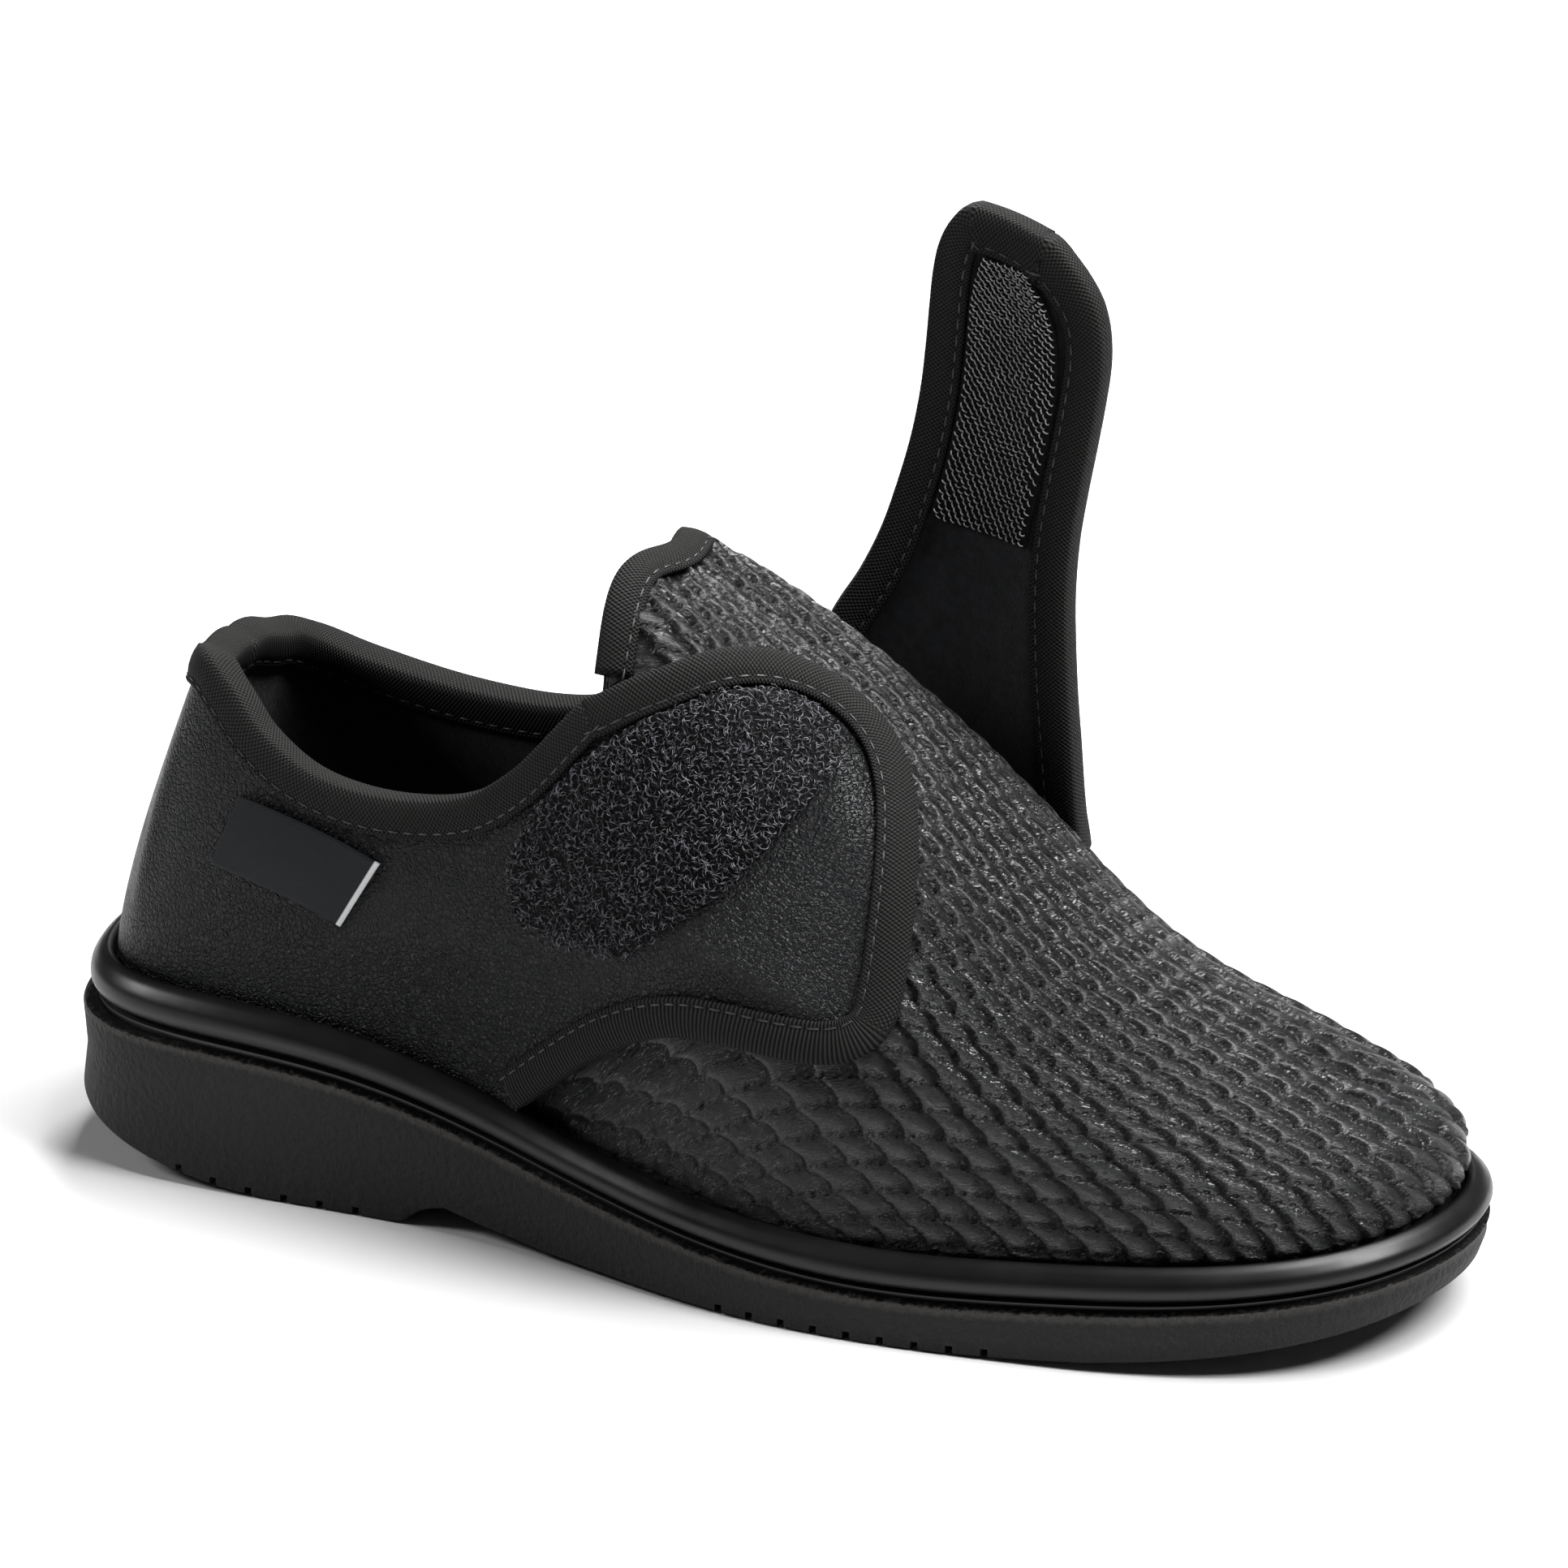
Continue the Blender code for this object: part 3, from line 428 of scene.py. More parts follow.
# From the heel on: share of the arc up to the collar on the outer and on the inner side, then up the tongue
COLLAR = [(0.00, 0.498, 0.498), (0.67, 0.496, 0.482), (1.33, 0.480, 0.436), (1.67, 0.458, 0.394),
          (2.00, 0.412, 0.352), (2.33, 0.343, 0.320), (2.67, 0.290, 0.297), (3.00, 0.272, 0.289),
          (3.33, 0.280, 0.296), (3.67, 0.311, 0.321), (4.00, 0.370, 0.370), (4.33, 0.458, 0.448),
          (4.50, 0.512, 0.512), (4.54, 0.620, 0.620), (4.56, 0.678, 0.678), (4.58, 0.733, 0.733),
          (4.61, 0.787, 0.787), (4.65, 0.838, 0.838), (4.71, 0.883, 0.883), (4.80, 0.930, 0.930),
          (4.95, 1.000, 1.000)]


def last(c, h):
    """Outer face of the upper: arcs from inside the bead (h = 0) to the ridge (h = 1)."""
    c, h = np.broadcast_arrays(np.asarray(c, float), np.asarray(h, float))
    k = np.minimum(c % ROUND, ROUND - c % ROUND)
    rows = np.arange(KNOTS + 1)
    rear = np.clip((4.6 - k) / 0.8, 0, 1) * (LEATHER + SKIN_GAP)
    foot = outline(c) - outward(c) * (BEAD_WIDTH + rear)[..., None]
    low = bead_height(outline(c)[..., 1])
    on = np.minimum(k, KNOTS - 1)
    ridge = np.stack([BALL * table(on, rows, column(RIDGE, 0)),
                      LENGTH * table(on, rows, column(RIDGE, 1)) - HEEL_REST], -1)
    top = INSTEP * table(on, rows, column(RIDGE, 2))
    power = 2 / table(k, rows, column(RIDGE, 3))
    bulge = 0.001 * table(k, rows, column(RIDGE, 4))
    angle = np.clip(h, 0, 1) * math.pi / 2
    reach = np.maximum(np.cos(angle), 0) ** power
    flat = ridge + (foot - ridge) * reach[..., None] + outward(c) * (bulge * np.sin(2 * angle))[..., None]
    z = low + (top - low) * np.sin(angle) ** power + np.minimum(h, 0) * SEAT_DEPTH
    return np.concatenate([flat, z[..., None]], -1)


def lifted(surface, a, b, lift):
    """Point of a surface moved out along its normal."""
    a, b = np.broadcast_arrays(np.asarray(a, float), np.asarray(b, float))
    b1 = np.clip(b, 0.012, 1.988)
    n = np.cross(surface(a + 0.02, b1) - surface(a - 0.02, b1),
                 surface(a, b1 + 0.008) - surface(a, b1 - 0.008))
    n = n / np.linalg.norm(n, axis=-1, keepdims=True)
    return surface(a, b) + n * np.broadcast_to(lift, a.shape)[..., None]


def over_ridge(a, b):
    """The last's outer face again, where b goes on past the ridge (b = 1) down the inner side."""
    a, b = np.broadcast_arrays(np.asarray(a, float), np.asarray(b, float))
    return last(np.where(b > 1, ROUND - a, a), np.where(b > 1, 2 - b, b))


def collar_share(c):
    """How far up the arc the collar's edge lies."""
    c = np.asarray(c, float)
    k = np.minimum(c % ROUND, ROUND - c % ROUND)
    outer, inner = (np.where(k < 4.5, table(k, column(COLLAR[:13], 0), column(COLLAR[:13], i)),
                             np.interp(k, column(COLLAR, 0), column(COLLAR, i))) for i in (1, 2))
    return np.where(c % ROUND <= KNOTS, outer, inner)


# How the braid counts across the shoe: powers of x, y and z in units of 50, 50 and 40 mm from a point over
# the ball, and the leaves along a row and the rows that the term adds
BRAID = [(0, 0, 0, 2.1, 12.8), (1, 0, 0, 0.7, -11.5), (0, 1, 0, 7.1, -4.7), (0, 0, 1, -3.8, 7.4),
         (2, 0, 0, -0.4, -1.0), (1, 1, 0, -0.2, 2.7), (1, 0, 1, 0.7, -1.7), (0, 1, 1, -0.9, 0.0),
         (0, 2, 0, -0.3, 0.4), (0, 0, 2, -0.7, -2.2)]
BRAID_ZERO = np.array([0.0, 0.180 - HEEL_REST, 0.040])
BRAID_UNIT = np.array([0.050, 0.050, 0.040])


def braid_place(p):
    """Leaf number along its row, and row number, at a place on the vamp."""
    x, y, z = np.moveaxis((p - BRAID_ZERO) / BRAID_UNIT, -1, 0)
    return (sum(t[k] * x ** t[0] * y ** t[1] * z ** t[2] for t in BRAID) for k in (3, 4))


def new_nodes(name, *inputs):
    """A new geometry tree with named inputs; gives the tree and its inputs."""
    tree = bpy.data.node_groups.new(name, "GeometryNodeTree")
    for label, kind, value in inputs + (("Finish", "NodeSocketMaterial", None),):
        socket = tree.interface.new_socket(label, in_out="INPUT", socket_type=kind)
        if value is not None:
            socket.default_value = value
    tree.interface.new_socket("Result", in_out="OUTPUT", socket_type="NodeSocketGeometry")
    return tree, node(tree, "NodeGroupInput").outputs


def end_nodes(tree, shape, finish):
    """End a geometry tree: copies made real, then the finish."""
    real = node(tree, "GeometryNodeRealizeInstances", {0: shape})
    dressed = node(tree, "GeometryNodeSetMaterial", {"Geometry": real, "Material": finish})
    node(tree, "NodeGroupOutput", {0: dressed})


def grown(obj, tree, finish):
    """Run a geometry tree on a piece, then keep the plain mesh."""
    growth = obj.modifiers.new("growth", "NODES")
    growth.node_group = tree
    for item in tree.interface.items_tree:
        if item.in_out == "INPUT" and item.name == "Finish":
            growth[item.identifier] = finish
    return settle(obj)


VAMP_REAR, COLUMN_STEP = 3.5, 0.00062
half = [VAMP_REAR]
while half[-1] < KNOTS:
    step = np.linalg.norm(last(half[-1] + 0.01, 0.25) - last(half[-1], 0.25)) / 0.01
    half.append(half[-1] + COLUMN_STEP / max(step, 0.010))
stretch = (KNOTS - VAMP_REAR) / (half[-1] - VAMP_REAR)
half = np.array(half) * stretch + VAMP_REAR * (1 - stretch)
c = np.concatenate([half, ROUND - half[-2::-1]])
share = np.linspace(0, 1, 144)
share = np.concatenate([[-0.6, -0.25], share + 0.12 * share * (1 - share)])
up = np.where(share[None] > 0, share[None] * np.minimum(collar_share(c), 1.0)[:, None], share[None])
points = last(np.broadcast_to(c[:, None], up.shape), up)
run, row = braid_place(points)

# How far the ribs stand: they fade under the quarters and the tapes, in the seat and under the strap's foot
k = np.minimum(c, ROUND - c)[:, None]
hold = np.clip((k - 3.9) / 0.35, 0, 1) * np.clip((up + 0.04) / 0.06, 0, 1)
edge_share = collar_share(c)[:, None]
hold = np.minimum(hold, np.clip((np.minimum(edge_share, 1.2) + (k > 4.97) - up) / 0.05, 0.15, 1))
inner_low = np.interp(k, [4.0, 4.56, 5.33, 6.0, 6.15], [0.018, 0.105, 0.190, 0.265, 0.32])
on_inner = (c[:, None] > KNOTS) & (k < 6.15)
under = np.clip((up - inner_low + 0.01) / 0.02, 0, 1) * np.clip((0.47 - up) / 0.03, 0, 1)
under = np.where(on_inner, under, 0)
hold = hold * (1 - under)
at_tape = np.clip((up - 0.88 * edge_share) / 0.06, 0, 1)
hold = hold * (1 - np.where((k < 5.0) & (k > 4.5), at_tape, 0))
hold = hold * (1 - np.clip(1 - np.abs(k - 4.95) / 0.06, 0, 1) * np.clip((up - 0.80) / 0.1, 0, 1))
vamp = mesh_piece("quilted_vamp", points.reshape(-1, 3), grid_faces(len(c), up.shape[1]), weld=0.00002,
                  run=run, row=row, hold=np.broadcast_to(hold, up.shape))
face_away(vamp, (0.0, 0.05, 0.02))

quilting, given = new_nodes("quilting", ("Cloth", "NodeSocketGeometry", None),
                            ("Rib Height", "NodeSocketFloat", 0.0017), ("Sink", "NodeSocketFloat", 0.00085),
                            ("Slant", "NodeSocketFloat", 1.0))
run_at, row_at, hold_at = (node(quilting, "GeometryNodeInputNamedAttribute", {"Name": n}, data_type="FLOAT")
                           for n in ("run", "row", "hold"))
in_row = node(quilting, "ShaderNodeMath", {0: row_at}, operation="FRACT")
puff = node(quilting, "ShaderNodeMath", {0: in_row, 1: in_row}, operation="MULTIPLY")
puff = node(quilting, "ShaderNodeMath", {0: in_row, 1: puff}, operation="SUBTRACT")
puff = node(quilting, "ShaderNodeMath", {0: puff, 1: 4.0}, operation="MULTIPLY")
puff = node(quilting, "ShaderNodeMath", {0: puff, 1: 0.35}, operation="POWER")
puff = node(quilting, "ShaderNodeMath", {0: puff, 1: 0.55, 2: 0.45}, operation="MULTIPLY_ADD")
bend = node(quilting, "ShaderNodeMath", {0: in_row, 1: 1.7}, operation="POWER")
bend = node(quilting, "ShaderNodeMath", {0: 1.0, 1: bend}, operation="SUBTRACT")
bend = node(quilting, "ShaderNodeMath", {0: bend, 1: given["Slant"]}, operation="MULTIPLY")
phase = node(quilting, "ShaderNodeMath", {0: run_at, 1: bend}, operation="SUBTRACT")
phase = node(quilting, "ShaderNodeMath", {0: phase}, operation="FRACT")
falls = node(quilting, "ShaderNodeMapRange", {"Value": phase, "From Min": 0.0, "From Max": 0.86})
falls = node(quilting, "ShaderNodeMath", {0: falls, 1: 1.6}, operation="POWER")
falls = node(quilting, "ShaderNodeMath", {0: 1.0, 1: falls}, operation="SUBTRACT")
falls = node(quilting, "ShaderNodeMath", {0: falls, 1: 0.75}, operation="POWER")
rises = node(quilting, "ShaderNodeMapRange", {"Value": phase, "From Min": 0.80, "From Max": 1.0},
             interpolation_type="SMOOTHSTEP")
rib = node(quilting, "ShaderNodeMath", {0: falls, 1: rises}, operation="MAXIMUM")
rib = node(quilting, "ShaderNodeMath", {0: rib, 1: 0.80, 2: 0.20}, operation="MULTIPLY_ADD")
rib = node(quilting, "ShaderNodeMath", {0: rib, 1: puff}, operation="MULTIPLY")
rib = node(quilting, "ShaderNodeMath", {0: rib, 1: given["Rib Height"]}, operation="MULTIPLY")
rib = node(quilting, "ShaderNodeMath", {0: rib, 1: hold_at}, operation="MULTIPLY")
rib = node(quilting, "ShaderNodeMath", {0: rib, 1: given["Sink"]}, operation="SUBTRACT")
push = node(quilting, "ShaderNodeVectorMath", {0: node(quilting, "GeometryNodeInputNormal"), "Scale": rib},
            operation="SCALE")
moved = node(quilting, "GeometryNodeSetPosition", {"Geometry": given["Cloth"], "Offset": push})
end_nodes(quilting, moved, given["Finish"])

# Coated stretch textile: a satin black face that creases finely between the ribs, with three needle holes to
# a leaf, about 2.5 mm apart, along each stitched line. Painted shade darkens the cloth near each stitched line,
# on the steep facet of each leaf and in the needle holes.
textile, tree, shader = start_material("quilted_satin_textile")
run_at = node(tree, "ShaderNodeAttribute", attribute_name="run").outputs["Fac"]
row_at = node(tree, "ShaderNodeAttribute", attribute_name="row").outputs["Fac"]
spot = node(tree, "ShaderNodeTexCoord").outputs["Object"]
in_row = node(tree, "ShaderNodeMath", {0: row_at}, operation="FRACT")
bend = node(tree, "ShaderNodeMath", {0: in_row, 1: 1.7}, operation="POWER")
bend = node(tree, "ShaderNodeMath", {0: bend, 1: 1.0, 2: run_at}, operation="MULTIPLY_ADD")
phase = node(tree, "ShaderNodeMath", {0: bend, 1: -1.0}, operation="ADD")
phase = node(tree, "ShaderNodeMath", {0: phase}, operation="FRACT")
steep = node(tree, "ShaderNodeMapRange", {"Value": phase, "From Min": 0.62, "From Max": 0.84})
near_line = node(tree, "ShaderNodeMath", {0: in_row, 1: 0.5}, operation="SUBTRACT")
near_line = node(tree, "ShaderNodeMath", {0: near_line}, operation="ABSOLUTE")
across = node(tree, "ShaderNodeMath", {0: 0.5, 1: near_line}, operation="SUBTRACT")
across = node(tree, "ShaderNodeMath", {0: across, 1: 4.6}, operation="MULTIPLY")
holes = node(tree, "ShaderNodeMath", {0: run_at, 1: 3.0}, operation="MULTIPLY")
holes = node(tree, "ShaderNodeMath", {0: holes}, operation="FRACT")
holes = node(tree, "ShaderNodeMath", {0: holes, 1: 0.5}, operation="SUBTRACT")
holes = node(tree, "ShaderNodeMath", {0: holes, 1: 2.5}, operation="MULTIPLY")
both = node(tree, "ShaderNodeCombineXYZ", {0: across, 1: holes})
away = node(tree, "ShaderNodeVectorMath", {0: both}, operation="LENGTH")
hole = node(tree, "ShaderNodeMapRange", {"Value": away.outputs["Value"], "From Min": 0.30, "From Max": 0.62,
                                         "To Min": 1.0, "To Max": 0.0})
run_mm = node(tree, "ShaderNodeMath", {0: run_at, 1: 7.6}, operation="MULTIPLY")
row_mm = node(tree, "ShaderNodeMath", {0: row_at, 1: 4.6}, operation="MULTIPLY")
cloth_flat = node(tree, "ShaderNodeCombineXYZ", {0: run_mm, 1: row_mm})
turned = node(tree, "ShaderNodeMapping", {"Vector": cloth_flat, "Rotation": (0, 0, 0.5),
                                          "Scale": (0.55, 1.5, 1.0)})
creases = node(tree, "ShaderNodeTexNoise", {"Vector": turned, "Scale": 1.7, "Detail": 4.0, "Roughness": 0.62,
                                            "Distortion": 1.2})
skin = node(tree, "ShaderNodeTexNoise", {"Vector": spot, "Scale": 3000.0, "Detail": 2.0})
lines = node(tree, "ShaderNodeMapRange", {"Value": creases, "From Min": 0.40, "From Max": 0.60})
wrinkle = node(tree, "ShaderNodeMapRange", {"Value": phase, "From Min": 0.05, "From Max": 0.40,
                                            "To Min": 0.15})
wrinkled = node(tree, "ShaderNodeMath", {0: lines, 1: wrinkle}, operation="MULTIPLY")
# Painted shade: the cloth is painted darker near each stitched line and on the steep facet of each leaf.
painted_shade = node(tree, "ShaderNodeMapRange", {"Value": near_line, "From Min": 0.36, "From Max": 0.50,
                                        "To Max": 0.6})
painted_shade = node(tree, "ShaderNodeMath", {0: painted_shade, 1: steep}, operation="MAXIMUM")
tint = node(tree, "ShaderNodeMix", {0: painted_shade, 6: srgb("#131416"), 7: srgb("#030304")}, data_type="RGBA")
# Painted shade in the needle holes: their pits are painted darker than the cloth around them.
tint = node(tree, "ShaderNodeMix", {0: hole, 6: tint.outputs[2], 7: srgb("#060607")}, data_type="RGBA")
tree.links.new(tint.outputs[2], shader.inputs["Base Color"])
shader.inputs["Specular IOR Level"].default_value = 0.50
rough = node(tree, "ShaderNodeMath", {0: creases, 1: 0.16, 2: 0.25}, operation="MULTIPLY_ADD")
tree.links.new(rough.outputs[0], shader.inputs["Roughness"])
bump = node(tree, "ShaderNodeBump", {"Height": wrinkled, "Strength": 0.9, "Distance": 0.00050})
bump = node(tree, "ShaderNodeBump", {"Height": skin, "Strength": 0.15, "Distance": 0.00008, "Normal": bump})
bump = node(tree, "ShaderNodeBump", {"Height": hole, "Strength": 0.8, "Distance": 0.0004, "Normal": bump},
            invert=True)
tree.links.new(bump.outputs[0], shader.inputs["Normal"])
grown(vamp, quilting, textile)
finish_piece(vamp, textile, "stretch_textile", "upper")


# Lining: brushed fleece glued inside the upper, from the seat up to the collar and along the tongue.
# It stands for the inner face of the upper.
c = np.linspace(0, ROUND, 281)
share = np.linspace(0, 1, 48)
share = np.concatenate([[-0.85], share + 0.12 * share * (1 - share)])
up = np.where(share[None] > 0, share[None] * np.minimum(collar_share(c), 1.0)[:, None], share[None])
points = lifted(last, np.broadcast_to(c[:, None], up.shape), up, -WALL)
lining = mesh_piece("fleece_lining", points.reshape(-1, 3), grid_faces(len(c), up.shape[1]), weld=0.00002)
face_away(lining, (0.0, 0.05, 0.02))
lining.data.flip_normals()
finish_piece(lining, fleece, "stretch_textile")


# Quarters: grained imitation leather, sewn over the lined rear. The outer one grows into the wide flap, which
# has left the vamp a little, and the inner one runs under the strap.

# From the rear of the flap to its front: knot, share of its lower edge, share of its upper edge
FLAP = [(4.00, 0.010, 0.370), (4.33, 0.062, 0.458), (4.56, 0.094, 0.524), (4.74, 0.117, 0.571),
        (4.94, 0.140, 0.630), (5.15, 0.163, 0.708), (5.33, 0.181, 0.772), (5.55, 0.203, 0.832),
        (5.75, 0.226, 0.864), (5.93, 0.251, 0.862), (6.05, 0.275, 0.832), (6.13, 0.300, 0.780),
        (6.19, 0.328, 0.700), (6.23, 0.360, 0.610), (6.25, 0.405, 0.520)]
INNER_FRONT = [(4.00, 0.018, 0.368), (4.33, 0.072, 0.446), (4.56, 0.105, 0.500), (4.94, 0.150, 0.470),
               (5.33, 0.190, 0.425), (5.67, 0.220, 0.420), (6.00, 0.265, 0.430), (6.15, 0.320, 0.430)]
FLAP_LIFT = 0.0018

# Folds where the leather gives: from and to (knot, share), height and half width
FOLDS = [((2.9, 0.10), (4.9, 0.235), 0.0016, 0.0040), ((5.05, 0.262), (5.95, 0.318), 0.0014, 0.0022),
         ((1.3, 0.12), (1.5, 0.36), 0.0006, 0.0040)]


def quarter_lift(c, reach):
    """How far the quarter stands off the last, once the flap has left the vamp by its reach."""
    c = np.asarray(c, float)
    k = np.minimum(c % ROUND, ROUND - c % ROUND)
    return SKIN_GAP + reach * np.interp(k, [3.33, 3.67, 4.00], [0.0, 0.45, 1.0])


def soft_fold(c, h, start, end, high, wide):
    """A rounded fold of the leather between two places (knot, share)."""
    a, b = np.array(start), np.array(end)
    scale = np.array([0.030, 0.075])
    p = np.stack([c, h], -1) * scale
    a, b = a * scale, b * scale
    t = np.clip(((p - a) @ (b - a)) / ((b - a) @ (b - a)), 0, 1)
    away = np.linalg.norm(p - (a + t[..., None] * (b - a)), axis=-1)
    return high * np.exp(-(away / wide) ** 2) * np.sin(np.pi * np.clip(t * 0.94 + 0.03, 0, 1)) ** 0.5


def thicken(obj, thickness, offset, even=False):
    """Give a sheet its wall."""
    wall = obj.modifiers.new("wall", "SOLIDIFY")
    wall.thickness, wall.offset, wall.use_even_offset = thickness, offset, even
    return obj


def quarter(name, front, side, reach):
    """A quarter as a sheet with its wall, on the outer (1) or the inner (2) side."""
    knots = np.concatenate([np.linspace(0.012, 3.98, 150), np.linspace(4.0, front[-1][0], 110)])
    low = np.where(knots < 4.0, np.interp(knots, [3.4, 4.0], [-0.5, front[0][1]]),
                   table(knots, column(front, 0), column(front, 1)))
    high = table(knots, column(front, 0), column(front, 2))
    c = knots if side == 1 else ROUND - knots
    high = np.where(knots < 4.0, collar_share(c), high)
    share = np.linspace(0, 1, 64)
    up = low[:, None] + (high - low)[:, None] * (share + 0.25 * share * (1 - share))[None]
    wide_c = np.broadcast_to(c[:, None], up.shape)
    lift = quarter_lift(wide_c, reach)
    for fold in FOLDS if side == 1 else []:
        lift = lift + soft_fold(wide_c, up, *fold)
    points = lifted(last, wide_c, up, lift)
    piece = mesh_piece(name, points.reshape(-1, 3), grid_faces(len(knots), len(share)))
    return thicken(face_away(piece, (0.0, 0.03, 0.04)), LEATHER, 1.0, even=True)


# Imitation leather: knitted cloth under a calendered polyurethane skin, pebbled in 1 mm cells that stretch
# flatter where the skin is pulled, bluish black with a soft satin.
leather, tree, shader = start_material("pebbled_imitation_leather")
spot = node(tree, "ShaderNodeTexCoord").outputs["Object"]
warp = node(tree, "ShaderNodeTexNoise", {"Vector": spot, "Scale": 500.0, "Detail": 2.0})
warped = node(tree, "ShaderNodeVectorMath", {0: warp.outputs["Color"], 1: (0.0011, 0.0011, 0.0011), 2: spot},
              operation="MULTIPLY_ADD")
cells = node(tree, "ShaderNodeTexVoronoi", {"Vector": warped, "Scale": 950.0}, feature="DISTANCE_TO_EDGE")
fine = node(tree, "ShaderNodeTexVoronoi", {"Vector": warped, "Scale": 2100.0}, feature="DISTANCE_TO_EDGE")
pulled = node(tree, "ShaderNodeTexNoise", {"Vector": spot, "Scale": 45.0, "Detail": 2.0})
pebble = node(tree, "ShaderNodeMapRange", {"Value": cells, "From Max": 0.22}, interpolation_type="SMOOTHSTEP")
small = node(tree, "ShaderNodeMapRange", {"Value": fine, "From Max": 0.25}, interpolation_type="SMOOTHSTEP")
grain = node(tree, "ShaderNodeMath", {0: small, 1: 0.35, 2: pebble}, operation="MULTIPLY_ADD")
tint = node(tree, "ShaderNodeMix", {0: pebble, 6: srgb("#020203"), 7: srgb("#0b0d10")}, data_type="RGBA")
tree.links.new(tint.outputs[2], shader.inputs["Base Color"])
rough = node(tree, "ShaderNodeMapRange", {"Value": pulled, "From Min": 0.3, "From Max": 0.7,
                                          "To Min": 0.34, "To Max": 0.46})
tree.links.new(rough.outputs[0], shader.inputs["Roughness"])
bump = node(tree, "ShaderNodeBump", {"Height": grain, "Strength": 0.9, "Distance": 0.00030})
tree.links.new(bump.outputs[0], shader.inputs["Normal"])
shader.inputs["Specular IOR Level"].default_value = 0.24
finish_piece(quarter("outer_quarter_leather", FLAP, 1, FLAP_LIFT), leather, "leather", "outer_quarter")
finish_piece(quarter("inner_quarter_leather", INNER_FRONT, 2, 0.0), leather, "leather", "inner_quarter")


# Bindings: woven ribbed tape, folded over each edge and sewn through, on the collar, the flap, the tongue,
# the foot of the inner quarter and the strap.
TAPE, TAPE_THICK = 0.0062, 0.0009
SEAM_IN, SECOND_SEAM = 0.0013, 0.0042
SEAMS = []


def smooth_path(path, pitch, surface):
    """Points along a path of knots, an even step apart."""
    path = np.array(path, float)
    place = surface(path[:, 0], path[:, 1])
    s = np.concatenate([[0], np.cumsum(np.linalg.norm(np.diff(place, axis=0), axis=1))])
    fine = np.linspace(0, s[-1], max(8, int(s[-1] / pitch)))
    return np.stack([table(fine, s, path[:, 0]), table(fine, s, path[:, 1])], -1)


def inside(surface, path, into, d):
    """The places that lie d in from an edge, reached in short steps."""
    a, b = path[:, 0].copy(), path[:, 1].copy()
    edge = surface(a, b)
    way = np.gradient(edge, axis=0)
    way = way / np.linalg.norm(way, axis=1, keepdims=True)
    e = 0.01
    for i in range(9):
        b1 = np.clip(b, 0.02, 1.98)
        da = (surface(a + e, b1) - surface(a - e, b1)) / (2 * e)
        db = (surface(a, b1 + e) - surface(a, b1 - e)) / (2 * e)
        if i == 0:
            n = np.cross(da, db)
            n = n / np.linalg.norm(n, axis=1, keepdims=True)
            inward = np.cross(way, n) * into
        step = np.einsum("nij,nj->ni", np.linalg.pinv(np.stack([da, db], -1)), inward * d / 8)
        if i < 8 and d > 0:
            a, b = a + step[:, 0], np.clip(b + step[:, 1], 0.0, 2.0)
    return a, b, edge, inward, n


def level(height):
    """A layer that lies at one height all along a tape."""
    return lambda a: np.full(np.shape(a), height)


def tape_round(name, surface, path, low, high, into=1.0, folded=True, seams=((SEAM_IN, 1),),
               ribbed=level(0.0), soften=0):
    """A tape over an edge; low and high give the offsets of the layers that it wraps."""
    path = smooth_path(path, 0.0011, surface)
    t, w = TAPE_THICK, TAPE
    face = [(w, 0.10), (w - 0.0002, 0.62), (w - 0.0007, 0.95), (w - 0.0013, 0.72), (w - 0.0019, 1.02),
            (w * 0.52, 1.28), (w * 0.28, 1.36), (w * 0.10, 1.26)]
    loops = []
    for d, share in face:
        a, b = inside(surface, path, into, d)[:2]
        loops.append(lifted(surface, a, b, high(a) + t * share))
    a, b, edge, inward, n = inside(surface, path, into, 0.0)
    top, bottom = high(a) + t * 1.1, low(a) - (t * 1.1 if folded else 0.0)
    middle, radius = (top + bottom) / 2, (top - bottom) / 2
    for angle in np.radians([75, 45, 15, -15, -45, -75] if folded else [75, 45, 15, -10]):
        turn = edge - inward * (EDGE_GAP + 0.85 * t * math.cos(angle))
        loops.append(turn + n * (middle + radius * math.sin(angle))[:, None])
    if folded:
        for d, share in face[::-1]:
            a, b = inside(surface, path, into, d)[:2]
            loops.append(lifted(surface, a, b, low(a) - t * share))
        a, b = inside(surface, path, into, w)[:2]
        loops.append(lifted(surface, a, b, low(a)))
    a = inside(surface, path, into, 0.0)[0]
    loops.append(edge - inward * EDGE_GAP * 0.5 + n * low(a)[:, None])
    loops.append(edge - inward * EDGE_GAP * 0.5 + n * high(a)[:, None])
    loops = np.array(loops).transpose(1, 0, 2)
    for _ in range(soften):
        loops[1:-1] = (loops[:-2] + 2 * loops[1:-1] + loops[2:]) / 4
    m, k = loops.shape[:2]
    runs = np.concatenate([[0], np.cumsum(np.linalg.norm(np.diff(loops[:, 6], axis=0), axis=1))])
    widths = np.concatenate([[0], np.cumsum(np.linalg.norm(np.diff(loops[m // 2], axis=0), axis=1))])
    uv = np.stack(np.meshgrid(runs, widths, indexing="ij"), -1).reshape(-1, 2) * 1000
    faces = grid_faces(m, k, closed=True)
    faces += [tuple(range(k))[::-1], tuple(range((m - 1) * k, m * k))]
    flat_ribs = np.broadcast_to(np.clip(ribbed(path[:, 1]), 0, 1)[:, None], (m, k))
    piece = mesh_piece(name, loops.reshape(-1, 3), faces, uv=uv, ribbed=flat_ribs)
    faces_out(piece)
    for depth, side in seams:
        a, b = inside(surface, path, into, w - depth)[:2]
        lift = high(a) + t * 0.80 if side > 0 else low(a) - t * 0.80
        here = lifted(surface, a, b, lift)
        for _ in range(soften):
            here[1:-1] = (here[:-2] + 2 * here[1:-1] + here[2:]) / 4
        SEAMS.append(here)
    return piece


